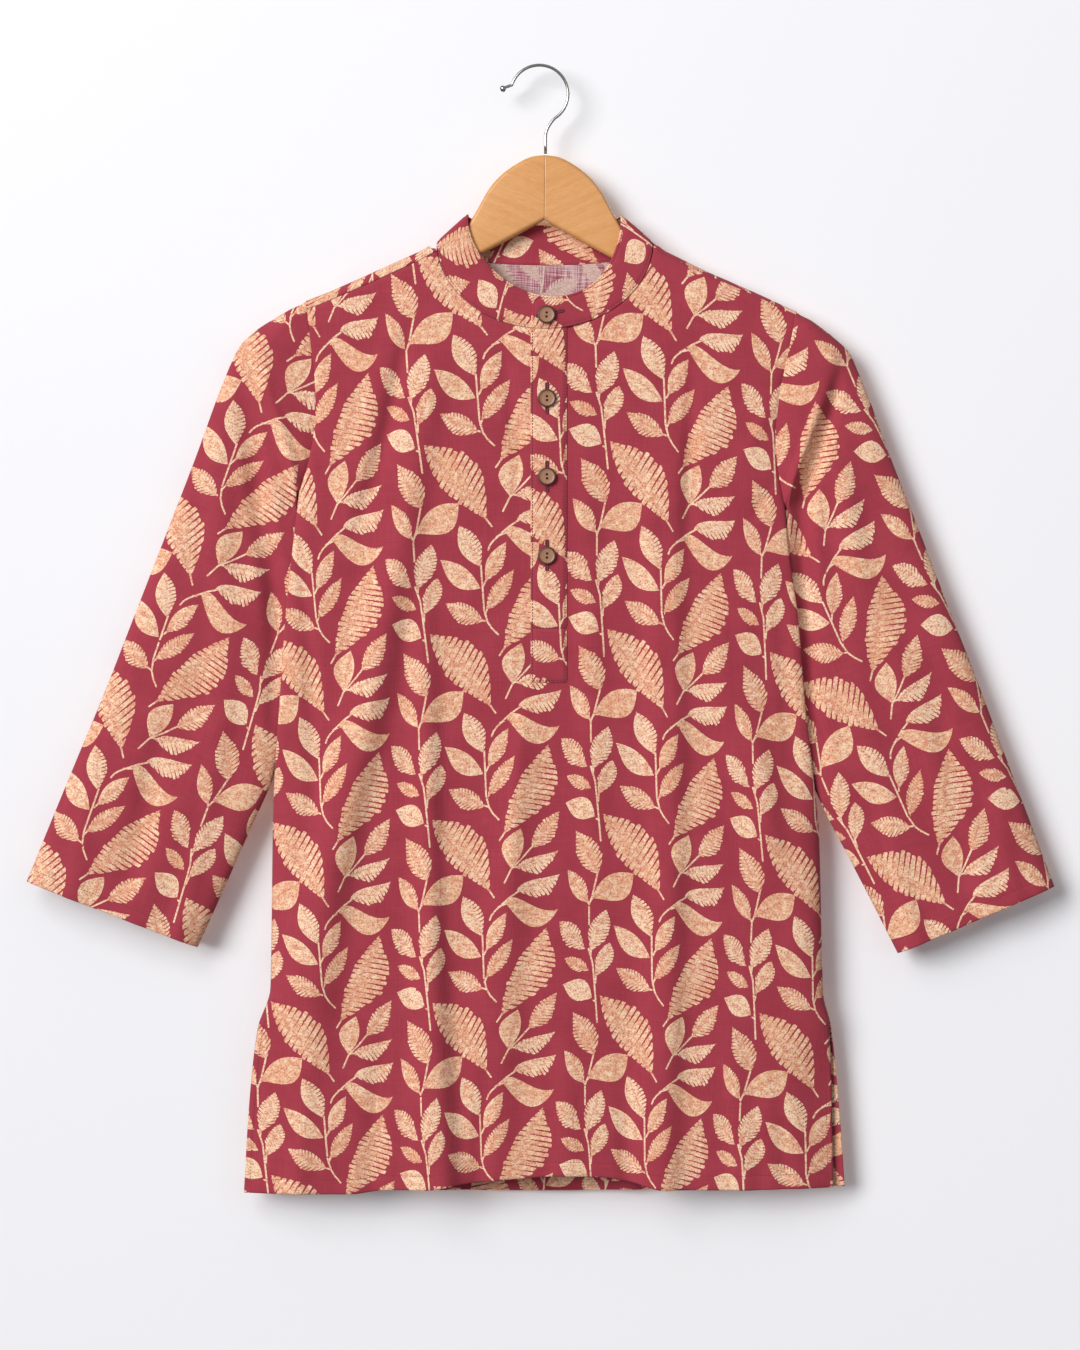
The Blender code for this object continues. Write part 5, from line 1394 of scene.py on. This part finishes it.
def button_mesh():
    """A disc through the profile, its centre on the origin, facing +Z, with two holes."""
    disc = bmesh.new()
    rings = []
    for share, height in BUTTON_PROFILE[1:-1]:
        made = bmesh.ops.create_circle(disc, cap_ends=False, segments=48,
                                       radius=share * BUTTON_RADIUS * MM)
        bmesh.ops.translate(disc, verts=made["verts"], vec=(0, 0, height * MM))
        rings.append(edges_of(made["verts"]))
    close_rings(disc, rings)
    blank = place_object("button_blank", take_mesh(disc, "button_blank"))
    drills = []
    for side in (-0.5, 0.5):
        drill = bmesh.new()
        bmesh.ops.create_cone(drill, cap_ends=True, segments=24, radius1=DRILL_RADIUS * MM,
                              radius2=DRILL_RADIUS * MM, depth=12 * MM)
        bmesh.ops.translate(drill, verts=drill.verts[:], vec=(0, side * HOLES_APART * MM, 0))
        drills.append(place_object("button_drill", take_mesh(drill, "button_drill")))
        cut = blank.modifiers.new("hole", "BOOLEAN")
        cut.operation = "DIFFERENCE"
        cut.object = drills[-1]
    bpy.context.view_layer.update()
    drilled = bpy.data.meshes.new_from_object(
        blank.evaluated_get(bpy.context.evaluated_depsgraph_get()))
    for unwanted in [blank, *drills]:
        bpy.data.objects.remove(unwanted)
    return drilled


def button_seat(z):
    """Point under a button on the cloth, and the cloth's upward direction there."""
    if z > NECK_SIDE_Z - NECK_FRONT_DROP:
        column = band_columns(np.array([neck_angle(BUTTON_X)]))[0]
        low, high = Vector(column[6]), Vector(column[-7])
        return low.lerp(high, (z - low.z) / (high.z - low.z)), (high - low).normalized()
    heights = np.array([z - 7, z, z + 7])
    low, seat, high = -front_depth(BUTTON_X + 0 * heights, heights) - PLACKET_LIFT
    return Vector((BUTTON_X, seat, z)), Vector((0, high - low, 14)).normalized()


blank_button = button_mesh()
button_frames = []
for number, height in enumerate(BUTTON_HEIGHTS, start=1):
    seat, up = button_seat(height)
    outward = up.cross(Vector((1, 0, 0))).normalized()
    if outward.y > 0:
        outward = -outward
    turn = Matrix.Rotation(math.radians(BUTTON_TURNS[number - 1]), 4, "Z")
    tilt = Matrix.Rotation(math.radians(BUTTON_TILTS[number - 1]), 4, "X")
    axes = Matrix((up.cross(outward), up, outward)).transposed().to_4x4()
    button_frames.append(Matrix.Translation((seat + outward * 0.45) * MM) @ axes @ turn @ tilt)
    mesh = blank_button.copy()
    mesh.transform(button_frames[-1])
    mesh.polygons.foreach_set("use_smooth", [True] * len(mesh.polygons))
    mesh.set_sharp_from_angle(angle=math.radians(38))
    mesh.materials.append(BUTTON_WOOD)
    mesh.materials.append(BUTTON_RIM)
    for face, plain in zip(mesh.polygons, blank_button.polygons):
        face.material_index = int(RIM_SHARE < plain.center.xy.length / (BUTTON_RADIUS * MM))
    button = place_object(f"turned_button_{number}", mesh)
    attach(button, "root")
    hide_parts(f"button_{number}")

# ---- Hanger ----
# Two flat arms sawn from a pale hardwood, rounded along their edges, mitred and glued in
# the middle, varnished clear.
HANGER_CENTRE = 4.5
HANGER_TILT = 0.53
HANGER_ROUND = 4.6
# Sections of one arm from the middle out: upper edge's distance and height, lower edge's
# distance and height, half depth.
ARM_SECTIONS = ((0.08, -80, 0.08, -139, 5.9), (12, -81.6, 10, -144.5, 5.9),
                (23, -86.6, 19, -149.4, 5.9), (35.5, -95, 28, -154.4, 5.9),
                (44.8, -104, 37, -159.5, 5.9), (51.5, -113, 45, -163.8, 5.9),
                (57, -123, 52, -167.6, 5.9), (62.5, -133, 57.5, -170.6, 5.9),
                (69.5, -144, 65, -174.6, 5.6), (80, -156, 76, -181, 5.2),
                (98, -168, 95, -191, 5), (150, -190, 147, -214, 5),
                (200, -211.8, 196, -236.2, 5), (207, -216.5, 204.5, -236.6, 4.6),
                (210, -221.6, 208.8, -233.4, 3.2))
GRAIN_TURN = {"right": math.radians(-22), "left": math.radians(23)}


def smooth_path(points, steps):
    """Catmull-Rom curve through the points."""
    path = []
    last = len(points) - 1
    for index in range(last):
        before = Vector(points[max(index - 1, 0)])
        start = Vector(points[index])
        end = Vector(points[index + 1])
        after = Vector(points[min(index + 2, last)])
        for step in range(steps):
            t = step / steps
            bend = (2 * before - 5 * start + 4 * end - after) * t * t
            sway = (3 * start - 3 * end + after - before) * t * t * t
            path.append(0.5 * (2 * start + (end - before) * t + bend + sway))
    path.append(Vector(points[last]))
    return path


def arm_sections(side):
    """Rings of points round one arm, with its long edges rounded."""
    upper = smooth_path([row[0:2] for row in ARM_SECTIONS], 8)
    lower = smooth_path([row[2:4] for row in ARM_SECTIONS], 8)
    half = smooth_path([(row[4], 0) for row in ARM_SECTIONS], 8)
    tilt = Matrix.Rotation(math.radians(-HANGER_TILT), 2)
    pivot = Vector((0, ARM_SECTIONS[0][1]))
    sections = []
    for high, low, depth in zip(upper, lower, half):
        ends = [tilt @ (Vector((end.x * SIGN[side], end.y)) - pivot) + pivot for end in (high, low)]
        length = (ends[0] - ends[1]).length
        radius = min(HANGER_ROUND, depth.x, length / 2)
        section = []
        for corner in range(4):
            facing = -1 if corner < 2 else 1
            rising = corner in (1, 2)
            for step in range(9):
                turn = math.radians(90 * step / 8)
                angle = turn if corner in (0, 2) else math.pi / 2 - turn
                y = facing * (depth.x - radius * (1 - math.sin(angle)))
                inset = radius * (1 - math.cos(angle))
                share = inset / length if rising else 1 - inset / length
                place = ends[1].lerp(ends[0], 1 - share)
                section.append(Vector((HANGER_CENTRE + place.x, y, place.y)))
        sections.append(section)
    return sections


def varnished_wood(side):
    """Pale hardwood along the arm: long streaks, fine fleck and thin gloss of clear varnish."""
    made, tree, output = new_material("varnished_hardwood_" + side)
    place = add_node(tree, "ShaderNodeTexCoord").outputs["Object"]
    along = add_node(tree, "ShaderNodeMapping",
                     {"Vector": place, "Rotation": (0, GRAIN_TURN[side], 0)}).outputs[0]
    grain = []
    for stretch, detail, bend in (((9, 60, 120), 5, 0.6),
                                  ((160, 900, 1800), 2, 0)):
        drawn = add_node(tree, "ShaderNodeMapping", {"Vector": along, "Scale": stretch})
        grain.append(add_node(tree, "ShaderNodeTexNoise",
                              {"Vector": drawn.outputs[0], "Scale": 1, "Detail": detail,
                               "Distortion": bend}).outputs[0])
    tone = two_tones(tree, grain[0], 0.9, grain[1], 0.45, "CB8844", "E8AC70")
    finish_material(tree, output, {"Base Color": tone, "Roughness": 0.5, "IOR": 1.5,
                                   "Coat Weight": 0.25, "Coat Roughness": 0.2})
    return made


for side in ("right", "left"):
    arm = bmesh.new()
    rings = []
    for section in arm_sections(side):
        made = bmesh.ops.create_circle(arm, cap_ends=False, segments=len(section), radius=1)
        verts = sorted(made["verts"],
                       key=lambda vert: math.atan2(vert.co.y, vert.co.x) % (2 * math.pi))
        rings.append(edges_of(verts))
        for vert, point in zip(verts, section):
            vert.co = point * MM
    close_rings(arm, rings)
    for face in arm.faces:
        face.smooth = len(face.verts) == 4
    mesh = take_mesh(arm, "wooden_arm_" + side)
    mesh.materials.append(varnished_wood(side))
    piece = place_object("wooden_arm_" + side, mesh)
    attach(piece, "root")
    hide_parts("hanger_arm_" + side)

# ---- Hook ----
# A bent wire with a small ball on its tip, nickel plated and polished, turned into the wood.
WIRE_RADIUS = 1.4
HOOK_CENTRE = (-0.6, -24.6)
HOOK_RADIUS = 26
HOOK_SHANK_X = 5
# Places along the turned-out tip, and the wire's swelling there.
HOOK_TIP = ((-31, -18.6, 1), (-31.5, -18.9, 1.2), (-32, -19.2, 1.9), (-32.7, -19.55, 2.15),
            (-33.4, -19.9, 2.25), (-34.1, -20.25, 2.15), (-34.8, -20.6, 1.8),
            (-35.4, -20.9, 1.3), (-35.8, -21.1, 0.5))


def hook_path():
    """Centre line of the wire with its swelling, from the tip to the shank's foot."""
    path = [(x, z, swell) for x, z, swell in reversed(HOOK_TIP)]
    for step in range(89):
        turn = math.radians(between(162, -57, step / 88))
        path.append((HOOK_CENTRE[0] + HOOK_RADIUS * math.cos(turn),
                     HOOK_CENTRE[1] + HOOK_RADIUS * math.sin(turn), 1))
    last_x, last_z, _ = path[-1]
    for step in (0.15, 0.3, 0.43, 0.55, 0.68, 0.8, 0.92, 1):
        ease = 1 - (1 - step) ** 2
        path.append((between(last_x, HOOK_SHANK_X, ease), between(last_z, -64, step), 1))
    path += [(HOOK_SHANK_X, -71, 1), (HOOK_SHANK_X, -79.2, 1)]
    return path


plated, tree, output = new_material("polished_nickel")
place = add_node(tree, "ShaderNodeTexCoord").outputs["Object"]
smear = add_node(tree, "ShaderNodeTexNoise", {"Vector": place, "Scale": 220,
                                              "Detail": 3}).outputs[0]
shine = add_node(tree, "ShaderNodeMath", {0: smear, 1: 0.12, 2: 0.12},
                 operation="MULTIPLY_ADD").outputs[0]
finish_material(tree, output, {"Base Color": colour("B9B6B2"), "Metallic": 1, "Roughness": shine})
path = hook_path()
wire = bmesh.new()
rings = []
for index, (x, z, swell) in enumerate(path):
    after, before = path[min(index + 1, len(path) - 1)], path[max(index - 1, 0)]
    run = Vector((after[0] - before[0], 0, after[1] - before[1])).normalized()
    turn = Matrix((Vector((0, 1, 0)).cross(run), Vector((0, 1, 0)), run))
    made = bmesh.ops.create_circle(
        wire, cap_ends=False, segments=20, radius=WIRE_RADIUS * swell * MM,
        matrix=Matrix.Translation(Vector((x, 0, z)) * MM) @ turn.transposed().to_4x4())
    rings.append(edges_of(made["verts"]))
close_rings(wire, rings)
for face in wire.faces:
    face.smooth = len(face.verts) == 4
mesh = take_mesh(wire, "bent_wire_hook")
mesh.materials.append(plated)
hook = place_object("bent_wire_hook", mesh)
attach(hook, "root")
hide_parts("hanger_hook")

# ---- Stitching ----
# Polyester sewing thread: lock stitches along every turned edge, in a thread darker than its own
# dull raspberry as painted shade of the stitches' dimples and the placket's edges; satin bars
# round the buttonholes; and a near-black blob of thread in each button hole, as its painted shade.
STITCH_LENGTH = 2.1
STITCH_PITCH = 2.7
THREAD_HALF = 0.28
# The placket's rows are drawn thicker, so that their dark thread paints the shadow along the strip's
# lifted edges.
PLACKET_THREAD_AND_SHADE_HALF = 0.52
HOLE_HALF = 13.6
COLLAR_HOLE_HALF = 12.4
SATIN_PITCH = 0.62


def spun_thread(name, tint):
    """Twisted polyester: a soft sheen broken by its fibres."""
    made, tree, output = new_material(name)
    place = add_node(tree, "ShaderNodeTexCoord").outputs["Object"]
    fibres = add_node(tree, "ShaderNodeTexNoise", {"Vector": place, "Scale": 3200,
                                                   "Detail": 2}).outputs[0]
    finish_material(tree, output, {"Base Color": colour(tint), "Roughness": 0.55, "IOR": 1.5,
                                   "Sheen Weight": 0.2}, (fibres, 0.4, 0.0001))
    return made


def line_at(points, measure, level):
    """Where a measure taken over a grid reaches a level, once in each column."""
    return np.array([[np.interp(level, values, column[:, axis]) for axis in range(3)]
                     for column, values in zip(points, measure)])


def lay_stitch(threads, start, end, facing, half=THREAD_HALF):
    """One grain of thread between two places, half sunk in the cloth."""
    start, end = Vector(start), Vector(end)
    along = (end - start).normalized()
    across = along.cross(Vector(facing)).normalized()
    axes = Matrix((along, across, along.cross(across))).transposed().to_4x4()
    size = Matrix.Diagonal(((end - start).length / 2 * MM, half * MM, half * MM, 1))
    bmesh.ops.create_icosphere(threads, subdivisions=1, radius=1,
                               matrix=Matrix.Translation((start + end) / 2 * MM) @ axes @ size)


def run_stitches(threads, line, facing, half=THREAD_HALF):
    """A row of lock stitches along a line; facing is the cloth's outward way along it."""
    run = np.concatenate([[0], np.cumsum(np.linalg.norm(np.diff(line, axis=0), axis=1))])
    facing = np.broadcast_to(np.asarray(facing, float), line.shape)
    for first in np.arange(0.4, run[-1] - STITCH_LENGTH, STITCH_PITCH):
        start, end, outward = [
            [np.interp(place, run, table[:, axis]) for axis in range(3)]
            for place, table in ((first, line), (first + STITCH_LENGTH, line), (first, facing))]
        lay_stitch(threads, start, end, outward, half)


def finish_threads(name, threads, tint):
    bmesh.ops.recalc_face_normals(threads, faces=threads.faces[:])
    for face in threads.faces:
        face.smooth = True
    mesh = take_mesh(threads, name)
    mesh.materials.append(tint)
    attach(place_object(name, mesh), "root")


seams = bmesh.new()
for panel, points, facing in (("front", front_points, (0, -1, 0)),
                              ("back", back_points, (0, 1, 0))):
    low = points[:, :10]
    run_stitches(seams, line_at(low[1:-1], (low[:, :, 2] - low[:, :1, 2])[1:-1], HEM_STITCH),
                 facing)
    for side, columns in (("right", points[:14]), ("left", points[::-1][:14])):
        rows = columns.transpose(1, 0, 2)
        rows = rows[(rows[:, 0, 2] < SLIT_TOP[side]) & (rows[:, 0, 2] > -1004)]
        inset = np.abs(rows[:, :, 0] - edge_x(side, rows[:, :, 2], panel))
        run_stitches(seams, line_at(rows, inset, SLIT_STITCH), facing)
for side in ("right", "left"):
    points, from_cuff = sleeve_grids[side]
    line = line_at(points[:, ::-1], from_cuff[:, ::-1], CUFF_STITCH)
    last, before = points[:, -1], points[:, -8]
    outward = np.cross(np.gradient(line, axis=0), last - before)
    if outward[SLEEVE_AROUND // 4, 1] < 0:
        outward = -outward
    run_stitches(seams, line, outward)
width = PLACKET_X[1] - PLACKET_X[0]
# Thick dark rows along the placket's edges: stitches, and the painted shadow of those edges.
for inset in (PLACKET_STITCH, width - PLACKET_STITCH):
    run_stitches(seams, line_at(top_points.transpose(1, 0, 2), (strip_x - PLACKET_X[0]).T, inset),
                 (0, -1, 0), PLACKET_THREAD_AND_SHADE_HALF)
for level in (BOX_TOP, PLACKET_FOOT + PLACKET_STITCH):
    run_stitches(seams, line_at(top_points[3:-3], strip_z[3:-3], level), (0, -1, 0), PLACKET_THREAD_AND_SHADE_HALF)
for measure, level in ((band_rise, BAND_STITCH),
                       (band_rise - band_rise[:, -1:], -BAND_STITCH)):
    run_stitches(seams, line_at(band_points, measure, level)[4:-4], band_outward(band_angle)[4:-4])
# The seam thread is darker than the real thread: painted shade of the stitch dimples and the edges.
stitch_thread_and_shade = spun_thread("thread_with_painted_stitch_shade", "5C1C2B")
finish_threads("seam_stitches", seams, stitch_thread_and_shade)

# The three placket holes are upright, the collar's lies along the band.
satin = bmesh.new()
HOLES = [((BUTTON_X, height + 0.3), (0, 1)) for height in BUTTON_HEIGHTS[1:]]
HOLES.append(((BUTTON_X + 2.6, BUTTON_HEIGHTS[0] + 1.6), (0.98, 0.2)))
for (middle_x, middle_z), (run_x, run_z) in HOLES:
    half = HOLE_HALF if run_x == 0 else COLLAR_HOLE_HALF
    rows = [(step, side, -0.3, 2.1) for step in np.arange(-half, half, SATIN_PITCH)
            for side in (-1, 1)]
    rows += [(end + step, 1, -1.7, 1.7) for end in (-half, half) for step in (-0.4, 0.2)]
    for step, side, near, far in rows:
        ends = []
        for off in (near * side, far * side):
            x = middle_x + run_x * step - run_z * off
            z = middle_z + run_z * step + run_x * off
            if run_x == 0:
                y = float(placket_y(np.array(x), np.array(z)))
            else:
                column = band_columns(np.array([neck_angle(x)]))[0]
                y = np.interp(z, column[:, 2], column[:, 1])
            ends.append((x, y - 0.35, z))
        lay_stitch(satin, *ends, (0, -1, 0), 0.5)
finish_threads("buttonhole_satin", satin, spun_thread("maroon_polyester_thread", "701F30"))

# A near-black blob of thread fills each button hole: the thread, with the holes' shade painted into
# its colour.
hole_thread_and_shade = bmesh.new()
for placed in button_frames:
    for side in (-1, 1):
        middle = side * HOLES_APART / 2
        bmesh.ops.create_icosphere(
            hole_thread_and_shade, subdivisions=2, radius=1,
            matrix=placed @ Matrix.Translation(Vector((0, middle, 1)) * MM)
            @ Matrix.Diagonal((0.85 * MM, 0.85 * MM, 1.1 * MM, 1)))
finish_threads("button_thread_and_hole_shade", hole_thread_and_shade, spun_thread("near_black_thread_with_hole_shade", "2C1612"))
